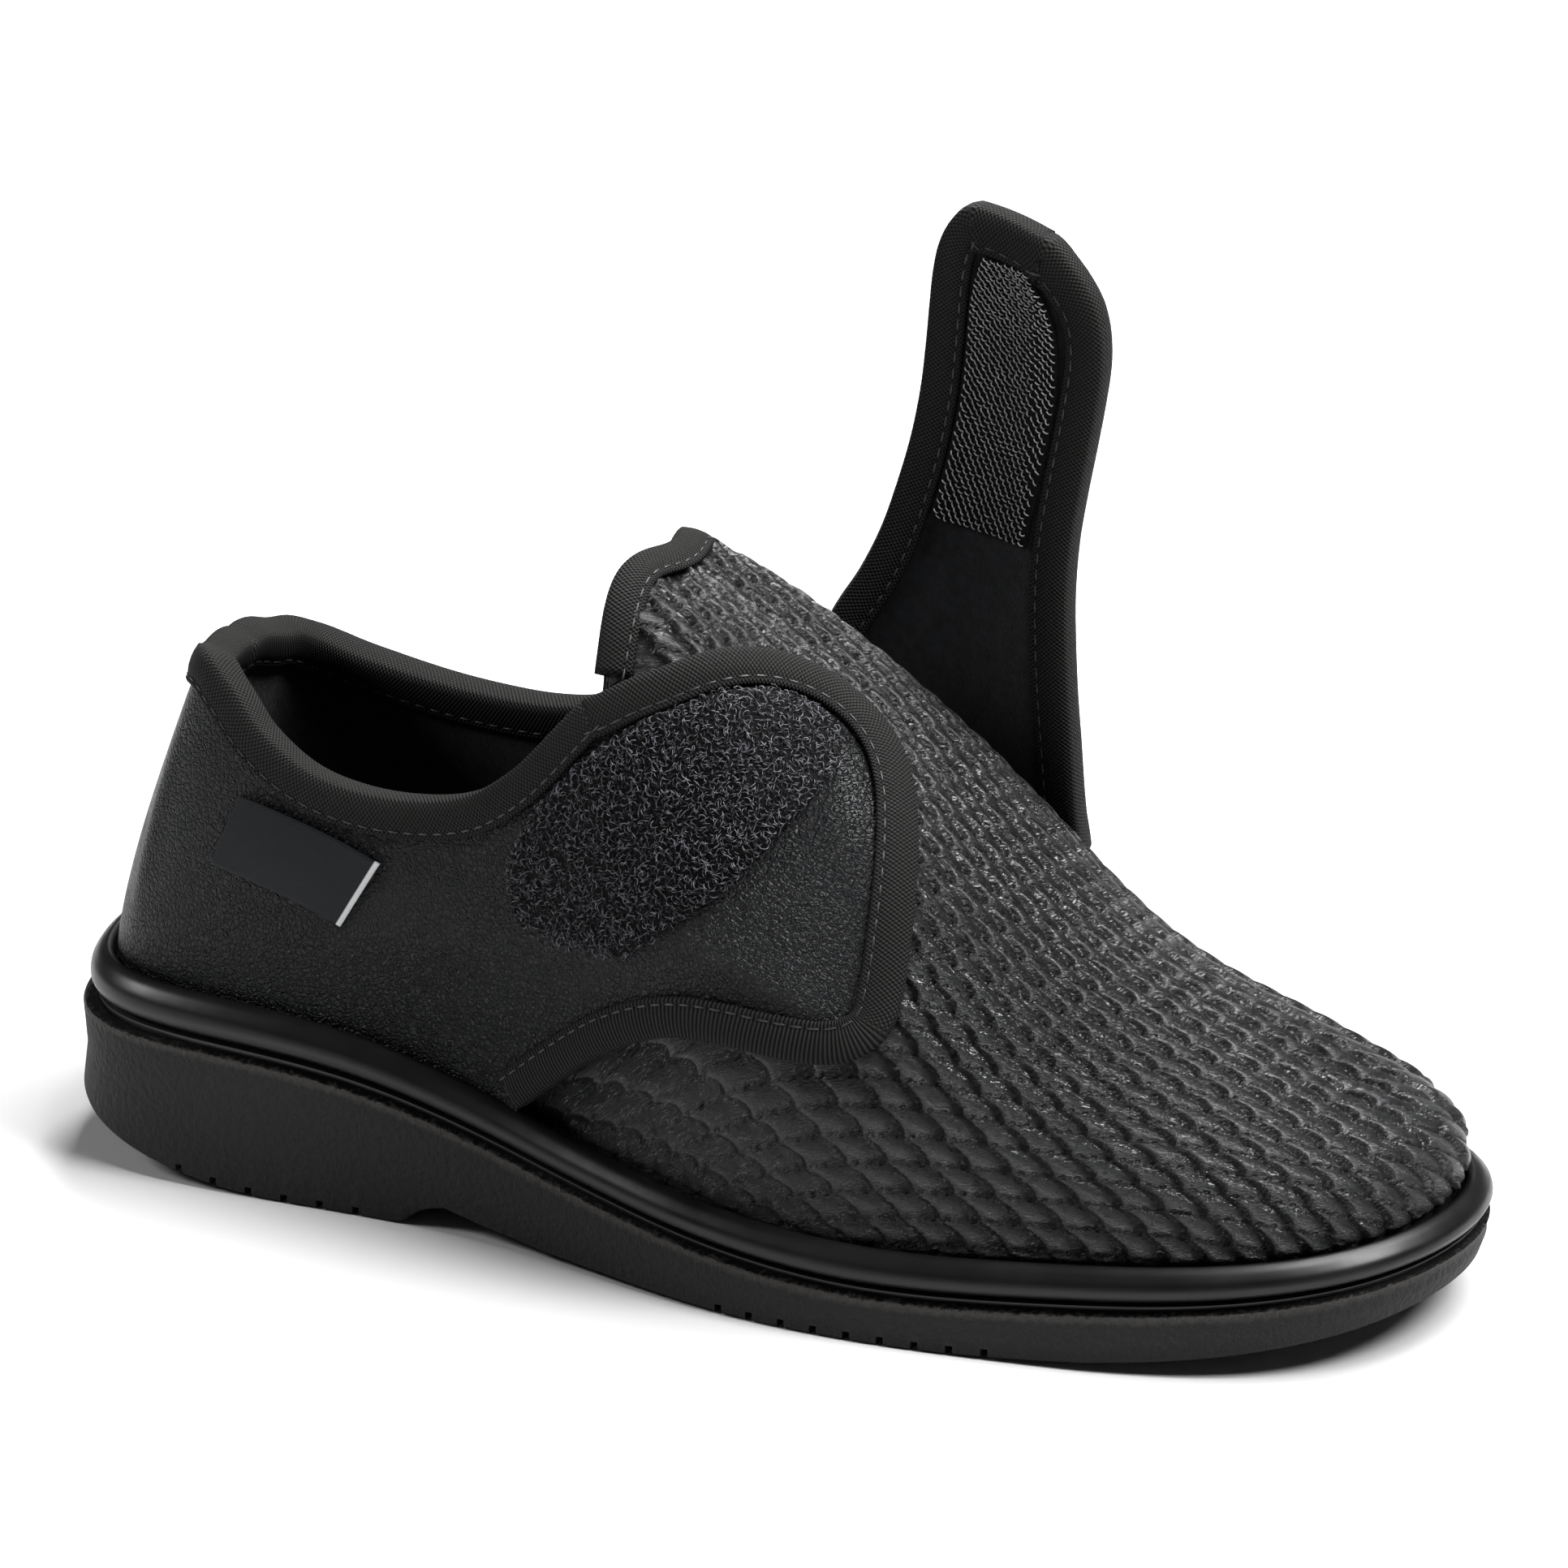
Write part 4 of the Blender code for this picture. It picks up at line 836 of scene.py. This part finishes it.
# Woven polyester tape: charcoal and matt, in a plain weave drawn with threads 0.79 and 1.10 mm apart, coarser
# than they are, so that they show. Along the flap's foot the tape shows its cross ribs alone.
tape, tree, shader = start_material("ribbed_charcoal_tape")
uv = node(tree, "ShaderNodeUVMap", uv_map="UVMap")
parts = node(tree, "ShaderNodeSeparateXYZ", {0: uv})
ribbed = node(tree, "ShaderNodeAttribute", attribute_name="ribbed").outputs["Fac"]
warp = node(tree, "ShaderNodeMath", {0: parts.outputs["X"], 1: 2 * math.pi / 0.79}, operation="MULTIPLY")
warp = node(tree, "ShaderNodeMath", {0: warp}, operation="SINE")
weft = node(tree, "ShaderNodeMath", {0: parts.outputs["Y"], 1: 2 * math.pi / 1.10}, operation="MULTIPLY")
weft = node(tree, "ShaderNodeMath", {0: weft}, operation="SINE")
weave = node(tree, "ShaderNodeMath", {0: warp, 1: weft}, operation="MULTIPLY")
weave = node(tree, "ShaderNodeMix", {0: ribbed, 2: weave, 3: warp}).outputs[0]
weave = node(tree, "ShaderNodeMapRange", {"Value": weave, "From Min": -0.8, "From Max": 0.9})
tint = node(tree, "ShaderNodeMix", {0: weave, 6: srgb("#020202"), 7: srgb("#2b2b2a")}, data_type="RGBA")
tree.links.new(tint.outputs[2], shader.inputs["Base Color"])
shader.inputs["Roughness"].default_value = 0.70
shader.inputs["Specular IOR Level"].default_value = 0.10
bump = node(tree, "ShaderNodeBump", {"Height": weave, "Strength": 0.9, "Distance": 0.00035})
tree.links.new(bump.outputs[0], shader.inputs["Normal"])

inner_face = level(-WALL - SKIN_GAP)
both_sides = ((SEAM_IN, 1), (SEAM_IN, -1))
knots = [v for v, _, _ in COLLAR if v <= 4.5]
path = [(ROUND + v, float(collar_share(v))) for v in knots][::-1]
path += [(ROUND - v, float(collar_share(ROUND - v))) for v in knots[1:]]
collar_tape = tape_round("collar_tape", last, path, inner_face, lambda c: LEATHER + SKIN_GAP + quarter_lift(
    c, np.where(c % ROUND < KNOTS, FLAP_LIFT, 0.0)), into=-1.0, seams=both_sides)
finish_piece(collar_tape, tape, "tape", "collar_binding")

path = [(4.50, float(collar_share(4.5)))] + [(v, high) for v, _, high in FLAP if v > 4.51]
path += [(v, low) for v, low, _ in FLAP[::-1]]
flap_tape = tape_round("flap_tape", last, path, lambda c: quarter_lift(c, FLAP_LIFT) - EDGE_GAP,
                       lambda c: quarter_lift(c, FLAP_LIFT) + LEATHER + EDGE_GAP,
                       seams=((SEAM_IN, 1), (SECOND_SEAM, 1)), ribbed=lambda b: (0.36 - b) / 0.04)
finish_piece(flap_tape, tape, "tape", "flap_binding")

half_edge = [(4.52, 0.566)] + [(v, h) for v, h, _ in COLLAR[13:-1]] + [(COLLAR[-1][0], 0.996)]
path = half_edge + [(v, 2 - h) for v, h in half_edge[::-1]]
tongue_tape = tape_round("tongue_tape", over_ridge, path, inner_face, level(EDGE_GAP), soften=40)
finish_piece(tongue_tape, tape, "tape", "tongue_binding")

path = [(ROUND - v, low) for v, low, _ in INNER_FRONT[-2::-1]]
inner_tape = tape_round("inner_quarter_tape", last, path, level(SKIN_GAP),
                        level(SKIN_GAP + LEATHER + EDGE_GAP), into=-1.0, folded=False)
finish_piece(inner_tape, tape, "tape", "inner_binding")


# Strap: two soft layers over thin foam, sewn to the inner quarter and left standing open. Its inner face is
# fleece at the foot and carries the hook pad near the tip; its outer face is the quarters' leather.
STRAP_TALL, STRAP_THICK, STRAP_LEAVES, ROOT_END = 0.178, 0.0026, 0.365, 0.625
STRAP_LEAN, ROOT_BEND = 0.045, 0.012

# Up the strap: height and place along the shoe of its rear edge, then place and height of its front edge
STRAP = [(0.325, 0.472, 0.656, 0.325), (0.360, 0.470, 0.656, 0.360), (0.400, 0.469, 0.656, 0.400),
         (0.450, 0.468, 0.655, 0.450), (0.510, 0.472, 0.652, 0.510), (0.560, 0.484, 0.650, 0.560),
         (0.605, 0.502, 0.649, 0.610), (0.650, 0.516, 0.651, 0.665), (0.700, 0.527, 0.656, 0.715),
         (0.750, 0.536, 0.662, 0.765), (0.800, 0.542, 0.667, 0.810), (0.845, 0.545, 0.670, 0.848),
         (0.888, 0.547, 0.669, 0.880), (0.922, 0.549, 0.664, 0.907), (0.950, 0.553, 0.655, 0.929),
         (0.972, 0.561, 0.644, 0.948), (0.986, 0.573, 0.631, 0.966)]

# The inner side of the last, found once for a grid of places along the shoe and heights
SIDE_Y, SIDE_Z = np.linspace(0.040, 0.125, 110), np.linspace(0.030, 0.072, 60)
goal = np.meshgrid(SIDE_Y, SIDE_Z, indexing="ij")
c, h = np.full(goal[0].shape, 14.6), np.full(goal[0].shape, 0.35)
for _ in range(14):
    p = last(c, h)
    pc, ph = (last(c + 0.01, h) - p) / 0.01, (last(c, h + 0.005) - p) / 0.005
    ry, rz = goal[0] - p[..., 1], goal[1] - p[..., 2]
    det = pc[..., 1] * ph[..., 2] - pc[..., 2] * ph[..., 1]
    c = np.clip(c + (ry * ph[..., 2] - rz * ph[..., 1]) / det, 12.5, 16.5)
    h = np.clip(h + (pc[..., 1] * rz - pc[..., 2] * ry) / det, 0.02, 0.9)
SIDE_X = last(c, h)[..., 0]


def inner_side(y, z):
    """Where the inner side of the last is, at a place along the shoe and a height."""
    fy = np.clip((y - SIDE_Y[0]) / (SIDE_Y[1] - SIDE_Y[0]), 0, len(SIDE_Y) - 1.001)
    fz = np.clip((z - SIDE_Z[0]) / (SIDE_Z[1] - SIDE_Z[0]), 0, len(SIDE_Z) - 1.001)
    i, k = fy.astype(int), fz.astype(int)
    fy, fz = fy - i, fz - k
    return ((SIDE_X[i, k] * (1 - fz) + SIDE_X[i, k + 1] * fz) * (1 - fy)
            + (SIDE_X[i + 1, k] * (1 - fz) + SIDE_X[i + 1, k + 1] * fz) * fy)


def strap_face(t, s):
    """Inner face of the strap: t from its rear edge to its front edge, s up its rows."""
    t, s = np.broadcast_arrays(np.asarray(t, float), np.asarray(s, float))
    rows = np.arange(len(STRAP))
    row = s * (len(STRAP) - 1)
    rear = LENGTH * table(row, rows, column(STRAP, 1)) - HEEL_REST
    front = LENGTH * table(row, rows, column(STRAP, 2)) - HEEL_REST
    z0 = STRAP_TALL * table(row, rows, column(STRAP, 0))
    z1 = STRAP_TALL * table(row, rows, column(STRAP, 3))
    y = rear * (1 - t) + front * t
    z = z0 * (1 - t) + z1 * t + 0.10 * (front - rear) * t * (1 - t) * np.clip((s - 0.8) / 0.2, 0, 1)
    leave = STRAP_TALL * STRAP_LEAVES
    root = np.minimum(y, LENGTH * ROOT_END - HEEL_REST)
    held = inner_side(root, np.minimum(z, leave))
    step = inner_side(root, np.full(y.shape, leave)) - inner_side(root, np.full(y.shape, leave - 0.004))
    free = np.maximum(z - leave, 0)
    x = held + step / 0.004 * ROOT_BEND * (1 - np.exp(-free / ROOT_BEND)) - STRAP_LEAN * free
    return np.stack([x - 2 * SKIN_GAP - LEATHER - TAPE_THICK - EDGE_GAP, y, z], -1)


def strap_layer(name, base, crown, way):
    """One layer of the strap, crowned over its foam, that faces to +x or to -x."""
    t, s = np.meshgrid(np.linspace(0, 1, 40), np.linspace(0, 1, 150), indexing="ij")
    swell = (4 * t * (1 - t)) ** 0.7
    points = lifted(strap_face, t, s, base + crown * swell)
    piece = mesh_piece(name, points.reshape(-1, 3), grid_faces(40, 150))
    if piece.data.polygons[3000].normal.x * way < 0:
        piece.data.flip_normals()
    return thicken(piece, 0.0008, -1.0)


finish_piece(strap_layer("strap_fleece", 0.0, 0.0003, 1), fleece, "leather")
finish_piece(strap_layer("strap_leather", -STRAP_THICK, -0.0006, -1), leather, "leather", "strap")
for height in (0.035, 0.075):
    t = np.linspace(0.17, 0.83, 40)
    SEAMS.append(lifted(strap_face, t, height, -STRAP_THICK - 0.0008))
side = np.concatenate([[0.015], np.arange(1, len(STRAP) - 1) / (len(STRAP) - 1)])
path = [(0.0, s) for s in side] + [(t, 1.0) for t in np.linspace(0, 1, 5)] + [(1.0, s) for s in side[::-1]]
strap_tape = tape_round("strap_tape", strap_face, path, level(-STRAP_THICK - EDGE_GAP), level(EDGE_GAP),
                        seams=both_sides)
finish_piece(strap_tape, tape, "tape", "strap_binding")


# Hook pad: the moulded hook half of a fastener, sewn on the strap's inner face near its tip. Small bent hooks
# stand in rows, every second row shifted by half a step.
PAD_FOOT, PAD_TALL, PAD_TOP = 0.42, 0.445, 0.865
HOOK_STEP, HOOK_ROW = 0.00138, 0.00082


def spots_mesh(name, grid_points, ups, ways):
    """A mesh of loose points that carries an upright and a heading for what stands on each."""
    mesh = bpy.data.meshes.new(name)
    mesh.from_pydata(grid_points.tolist(), [], [])
    for key, values in (("up", ups), ("way", ways)):
        values = values.astype(np.float32).ravel()
        mesh.attributes.new(key, "FLOAT_VECTOR", "POINT").data.foreach_set("vector", values)
    return placed(name, mesh)


def hook_place(t, s):
    """Place on the hook pad: t across it and s up it, both from 0 to 1."""
    up = PAD_FOOT + PAD_TALL * s
    trim = 0.205 + 0.09 * np.clip((up - 0.72) / 0.145, 0, 1) ** 2
    across = trim + (1 - 2 * trim - 0.08 * np.clip((up - 0.62) / 0.245, 0, 1)) * t
    return across, up + 0.05 * (1 - across) * (PAD_TOP - up) / PAD_TALL


t, s = np.meshgrid(np.linspace(0, 1, 24), np.linspace(0, 1, 60), indexing="ij")
a, b = hook_place(t, s)
points = lifted(strap_face, a, b, 0.0014 - 0.0004 * (np.abs(2 * t - 1) ** 8))
hook_base = mesh_piece("hook_pad_base", points.reshape(-1, 3), grid_faces(24, 60))
if hook_base.data.polygons[700].normal.x < 0:
    hook_base.data.flip_normals()
thicken(hook_base, 0.0009, -1.0)
pad_high = np.linalg.norm(strap_face(0.5, PAD_TOP) - strap_face(0.5, PAD_FOOT))
rows = int(pad_high / HOOK_ROW)
spots, heads, fronts = [], [], []
for i in range(rows):
    s = (i + 0.5) / rows
    ends = strap_face(*hook_place(np.array([0.03, 0.97]), np.array([s, s])))
    count = int(np.linalg.norm(ends[1] - ends[0]) / HOOK_STEP)
    t = 0.03 + 0.94 * (np.arange(count) + (0.25 if i % 2 else 0.75)) / count
    a, b = hook_place(t, np.full(count, s))
    low_points, high_points = lifted(strap_face, a, b, 0.0013), lifted(strap_face, a, b, 0.0023)
    ahead = lifted(strap_face, a, b + 0.004, 0.0013) - low_points
    spots.append(low_points)
    heads.append(high_points - low_points)
    fronts.append(ahead)
hooks = spots_mesh("hook_pad_hooks", *(np.concatenate(v) for v in (spots, heads, fronts)))

# Hook and loop nylon: stiff bent monofilament, glossy, with painted highlights that a noise lays on the hooks
# from near black to pale grey, over a deep black ribbed ground.
nylon, tree, shader = start_material("black_nylon_hooks")
spot = node(tree, "ShaderNodeTexCoord").outputs["Object"]
painted_highlight = node(tree, "ShaderNodeTexNoise", {"Vector": spot, "Scale": 900.0, "Detail": 2.0})
# Painted highlight: the hooks' colour runs by noise from near black up to pale grey.
tint = node(tree, "ShaderNodeMix", {0: painted_highlight, 6: srgb("#1c1c1f"), 7: srgb("#bcbcbe")}, data_type="RGBA")
tree.links.new(tint.outputs[2], shader.inputs["Base Color"])
shader.inputs["Roughness"].default_value = 0.22
ground, tree, shader = start_material("black_nylon_ground")
spot = node(tree, "ShaderNodeTexCoord").outputs["Object"]
knit = node(tree, "ShaderNodeTexNoise", {"Vector": spot, "Scale": 1400.0, "Detail": 3.0})
tint = node(tree, "ShaderNodeMix", {0: knit, 6: srgb("#010101"), 7: srgb("#0a0a0b")}, data_type="RGBA")
tree.links.new(tint.outputs[2], shader.inputs["Base Color"])
shader.inputs["Roughness"].default_value = 0.85
shader.inputs["Specular IOR Level"].default_value = 0.15
bump = node(tree, "ShaderNodeBump", {"Height": knit, "Strength": 0.8, "Distance": 0.0004})
tree.links.new(bump.outputs[0], shader.inputs["Normal"])

tree, given = new_nodes("hook_rows", ("Spots", "NodeSocketGeometry", None),
                        ("Hook Size", "NodeSocketFloat", 0.00048), ("Thickness", "NodeSocketFloat", 0.00014),
                        ("Seed", "NodeSocketInt", 4))
bow = node(tree, "GeometryNodeCurveArc", {"Resolution": 6, "Radius": given["Hook Size"], "Start Angle": 0.0,
                                          "Sweep Angle": 3.6})
gauge = node(tree, "GeometryNodeCurvePrimitiveCircle", {"Resolution": 4, "Radius": given["Thickness"]})
cane = node(tree, "GeometryNodeCurveToMesh", {"Curve": bow, "Profile Curve": gauge})
upright, heading = (node(tree, "GeometryNodeInputNamedAttribute", {"Name": n}, data_type="FLOAT_VECTOR")
                    for n in ("up", "way"))
turn = node(tree, "FunctionNodeAlignRotationToVector", {"Vector": upright}, axis="Y")
turn = node(tree, "FunctionNodeAlignRotationToVector", {"Rotation": turn, "Vector": heading}, axis="X",
            pivot_axis="Y")
sway = node(tree, "FunctionNodeRandomValue",
            {0: (-0.25, 0.4, -0.2), 1: (0.25, 1.3, 0.2), "Seed": given["Seed"]}, data_type="FLOAT_VECTOR")
sway = node(tree, "FunctionNodeEulerToRotation", {0: sway})
turn = node(tree, "FunctionNodeRotateRotation", {0: turn, 1: sway}, rotation_space="LOCAL")
roots = node(tree, "GeometryNodeMeshToPoints", {0: given["Spots"]})
stand = node(tree, "GeometryNodeInstanceOnPoints", {"Points": roots, "Instance": cane, "Rotation": turn})
end_nodes(tree, stand, given["Finish"])
grown(hooks, tree, nylon)
hooks.data.shade_smooth()
finish_piece(hook_base, ground, "hook", "hook_pad")
finish_piece(hooks, nylon, "hook")


# Loop pad: the brushed loop half of the fastener, sewn on the flap. A knitted ground under thousands of fine
# curls that lean every way and make its outline ragged.

# From its rear corner to its front: knot, share of its lower edge, share of its upper edge
LOOP_PAD = [(3.97, 0.205, 0.262), (4.12, 0.190, 0.325), (4.33, 0.190, 0.382), (4.56, 0.196, 0.448),
            (4.78, 0.212, 0.510), (5.02, 0.268, 0.585), (5.24, 0.335, 0.662), (5.44, 0.420, 0.725),
            (5.62, 0.520, 0.762), (5.76, 0.620, 0.765), (5.83, 0.690, 0.740)]


def loop_sheet(name, lift):
    """A sheet on the flap in the pad's outline, a little lower at its edges."""
    knots = np.linspace(LOOP_PAD[0][0], LOOP_PAD[-1][0], 60)
    low, high = (table(knots, column(LOOP_PAD, 0), column(LOOP_PAD, i)) for i in (1, 2))
    up = low[:, None] + (high - low)[:, None] * np.linspace(0, 1, 40)[None]
    from_middle = np.maximum(np.abs(np.linspace(-1, 1, 60))[:, None], np.abs(np.linspace(-1, 1, 40))[None])
    edge_fall = 1 - from_middle ** 10
    base = quarter_lift(knots, FLAP_LIFT)[:, None] + LEATHER + SKIN_GAP * 1.3
    points = lifted(last, np.broadcast_to(knots[:, None], up.shape), up,
                    base + lift * (0.25 + 0.75 * edge_fall))
    return face_away(mesh_piece(name, points.reshape(-1, 3), grid_faces(60, 40)), (0.0, 0.03, 0.04))


loop_base = thicken(loop_sheet("loop_pad_base", 0.0008), 0.0008, -1.0)
curls = loop_sheet("loop_pad_curls", 0.0007)

# Texturised nylon loops: fine crimped filament, near black, with a painted grey sheen laid in patches of noise.
loops_fibre, tree, shader = start_material("brushed_nylon_loops")
spot = node(tree, "ShaderNodeTexCoord").outputs["Object"]
painted_sheen = node(tree, "ShaderNodeTexNoise", {"Vector": spot, "Scale": 1100.0, "Detail": 2.0})
painted_sheen = node(tree, "ShaderNodeMapRange", {"Value": painted_sheen, "From Min": 0.42, "From Max": 0.68})
# Painted sheen: patches of the curls are painted grey.
tint = node(tree, "ShaderNodeMix", {0: painted_sheen, 6: srgb("#08090b"), 7: srgb("#7a7a82")}, data_type="RGBA")
tree.links.new(tint.outputs[2], shader.inputs["Base Color"])
shader.inputs["Roughness"].default_value = 0.5
shader.inputs["Specular IOR Level"].default_value = 0.35

tree, given = new_nodes("loop_curls", ("Ground", "NodeSocketGeometry", None),
                        ("Curls per Square Metre", "NodeSocketFloat", 2.2e6),
                        ("Curl Radius", "NodeSocketFloat", 0.00062), ("Fibre", "NodeSocketFloat", 0.000075),
                        ("Seed", "NodeSocketInt", 7))
spread = node(tree, "GeometryNodeDistributePointsOnFaces",
              {"Mesh": given["Ground"], "Density": given["Curls per Square Metre"], "Seed": given["Seed"]})
bow = node(tree, "GeometryNodeCurveArc", {"Resolution": 7, "Radius": given["Curl Radius"],
                                          "Start Angle": -0.6, "Sweep Angle": 3.9})
gauge = node(tree, "GeometryNodeCurvePrimitiveCircle", {"Resolution": 3, "Radius": given["Fibre"]})
strand = node(tree, "GeometryNodeCurveToMesh", {"Curve": bow, "Profile Curve": gauge})
spin = node(tree, "FunctionNodeRandomValue", {0: (0.3, -0.9, 0.0), 1: (1.9, 0.9, 6.28), "Seed": 11},
            data_type="FLOAT_VECTOR")
turn = node(tree, "ShaderNodeVectorMath", {0: spin, 1: (0, 0, 1)}, operation="MULTIPLY")
turn = node(tree, "FunctionNodeEulerToRotation", {0: turn})
turn = node(tree, "FunctionNodeRotateRotation", {0: spread.outputs["Rotation"], 1: turn},
            rotation_space="LOCAL")
lean = node(tree, "ShaderNodeVectorMath", {0: spin, 1: (1, 1, 0)}, operation="MULTIPLY")
lean = node(tree, "FunctionNodeEulerToRotation", {0: lean})
turn = node(tree, "FunctionNodeRotateRotation", {0: turn, 1: lean}, rotation_space="LOCAL")
grow = node(tree, "FunctionNodeRandomValue", {2: 0.6, 3: 1.35, "Seed": 12}, data_type="FLOAT")
stand = node(tree, "GeometryNodeInstanceOnPoints",
             {"Points": spread, "Instance": strand, "Rotation": turn, "Scale": grow.outputs[1]})
end_nodes(tree, stand, given["Finish"])
grown(curls, tree, loops_fibre)
curls.data.shade_smooth()
finish_piece(loop_base, ground, "loop", "loop_pad")
finish_piece(curls, loops_fibre, "loop")


# Label: a bare strip of damask ribbon, 27 by 12 mm, sewn flat on the outer quarter under the collar. Its pale
# selvedge shows at the front end.

# Rear and front end: knot and share of the lower corner, then of the upper corner
LABEL = [(2.08, 0.176, 2.24, 0.262), (2.89, 0.112, 3.12, 0.196)]
f, up = np.meshgrid(np.linspace(0, 1, 60), np.linspace(0, 1, 24), indexing="ij")
rear = [LABEL[0][i] + (LABEL[0][i + 2] - LABEL[0][i]) * up for i in (0, 1)]
front = [LABEL[1][i] + (LABEL[1][i + 2] - LABEL[1][i]) * up for i in (0, 1)]
bulge = 0.0005 * np.sin(np.pi * f) * np.sin(np.pi * up)
points = lifted(last, rear[0] + (front[0] - rear[0]) * f, rear[1] + (front[1] - rear[1]) * f,
                2 * SKIN_GAP + LEATHER + bulge)
ribbon = mesh_piece("bare_label", points.reshape(-1, 3), grid_faces(60, 24),
                    uv=np.stack([f * 27, up * 12], -1).reshape(-1, 2))
thicken(face_away(ribbon, (0.0, -0.03, 0.04)), 0.0006, 1.0)

# Damask ribbon: a fine satin weave in slate black, drawn with threads 0.42 and 0.5 mm apart so that it just
# shows, with a white selvedge 0.8 mm wide.
ribbon_cloth, tree, shader = start_material("slate_damask_ribbon")
parts = node(tree, "ShaderNodeSeparateXYZ", {0: node(tree, "ShaderNodeUVMap", uv_map="UVMap")})
threads = node(tree, "ShaderNodeMath", {0: parts.outputs["Y"], 1: 2 * math.pi / 0.42}, operation="MULTIPLY")
threads = node(tree, "ShaderNodeMath", {0: threads}, operation="SINE")
ends = node(tree, "ShaderNodeMath", {0: parts.outputs["X"], 1: 2 * math.pi / 0.5}, operation="MULTIPLY")
ends = node(tree, "ShaderNodeMath", {0: ends}, operation="SINE")
weave = node(tree, "ShaderNodeMath", {0: threads, 1: ends}, operation="MULTIPLY")
weave = node(tree, "ShaderNodeMapRange", {"Value": weave, "From Min": -1.0, "From Max": 1.0})
tint = node(tree, "ShaderNodeMix", {0: weave, 6: srgb("#0c0d10"), 7: srgb("#1a1c20")}, data_type="RGBA")
white_edge = node(tree, "ShaderNodeMapRange", {"Value": parts.outputs["X"], "From Min": 26.1,
                                               "From Max": 26.3})
tint = node(tree, "ShaderNodeMix", {0: white_edge, 6: tint.outputs[2], 7: srgb("#c9cacc")}, data_type="RGBA")
tree.links.new(tint.outputs[2], shader.inputs["Base Color"])
shader.inputs["Roughness"].default_value = 0.6
shader.inputs["Specular IOR Level"].default_value = 0.2
bump = node(tree, "ShaderNodeBump", {"Height": weave, "Strength": 0.4, "Distance": 0.0001})
tree.links.new(bump.outputs[0], shader.inputs["Normal"])
finish_piece(ribbon, ribbon_cloth, "label", "label")


# Thread: black polyester, in lockstitch of 3 mm a stitch along every tape and across the strap's foot. Each
# stitch is a small pillow that lies on the tape between its two needle holes.

# Spun polyester: two plies, half matt, in two shades of charcoal close to the tape's own.
sewing, tree, shader = start_material("black_polyester_thread")
spot = node(tree, "ShaderNodeTexCoord").outputs["Object"]
ply = node(tree, "ShaderNodeTexNoise", {"Vector": spot, "Scale": 3000.0, "Detail": 1.0})
tint = node(tree, "ShaderNodeMix", {0: ply, 6: srgb("#0c0c0c"), 7: srgb("#2c2c2c")}, data_type="RGBA")
tree.links.new(tint.outputs[2], shader.inputs["Base Color"])
shader.inputs["Roughness"].default_value = 0.45
tree, given = new_nodes("lockstitch", ("Seam", "NodeSocketGeometry", None),
                        ("Stitch", "NodeSocketFloat", 0.0030), ("Thread", "NodeSocketFloat", 0.00022))
line = node(tree, "GeometryNodeMeshToCurve", {0: given["Seam"]})
line = node(tree, "GeometryNodeResampleCurve", {"Curve": line, "Length": given["Stitch"]}, mode="LENGTH")
long = node(tree, "ShaderNodeMath", {0: given["Stitch"], 1: 0.40}, operation="MULTIPLY")
ball = node(tree, "GeometryNodeMeshUVSphere", {"Segments": 8, "Rings": 5, "Radius": 1.0})
plump = node(tree, "ShaderNodeCombineXYZ", {0: long, 1: given["Thread"], 2: given["Thread"]})
ball = node(tree, "GeometryNodeTransform", {"Geometry": ball, "Scale": plump})
heading = node(tree, "GeometryNodeInputTangent")
turn = node(tree, "FunctionNodeAlignRotationToVector", {"Vector": heading}, axis="X")
stand = node(tree, "GeometryNodeInstanceOnPoints", {"Points": line, "Instance": ball, "Rotation": turn})
end_nodes(tree, stand, given["Finish"])
verts, edges = [], []
for line in SEAMS:
    edges += [(len(verts) + i, len(verts) + i + 1) for i in range(len(line) - 1)]
    verts += line.tolist()
seam_mesh = bpy.data.meshes.new("seam_stitches")
seam_mesh.from_pydata(verts, edges, [])
stitches = placed("seam_stitches", seam_mesh)
grown(stitches, tree, sewing)
stitches.data.shade_smooth()
finish_piece(stitches, sewing, "tape")
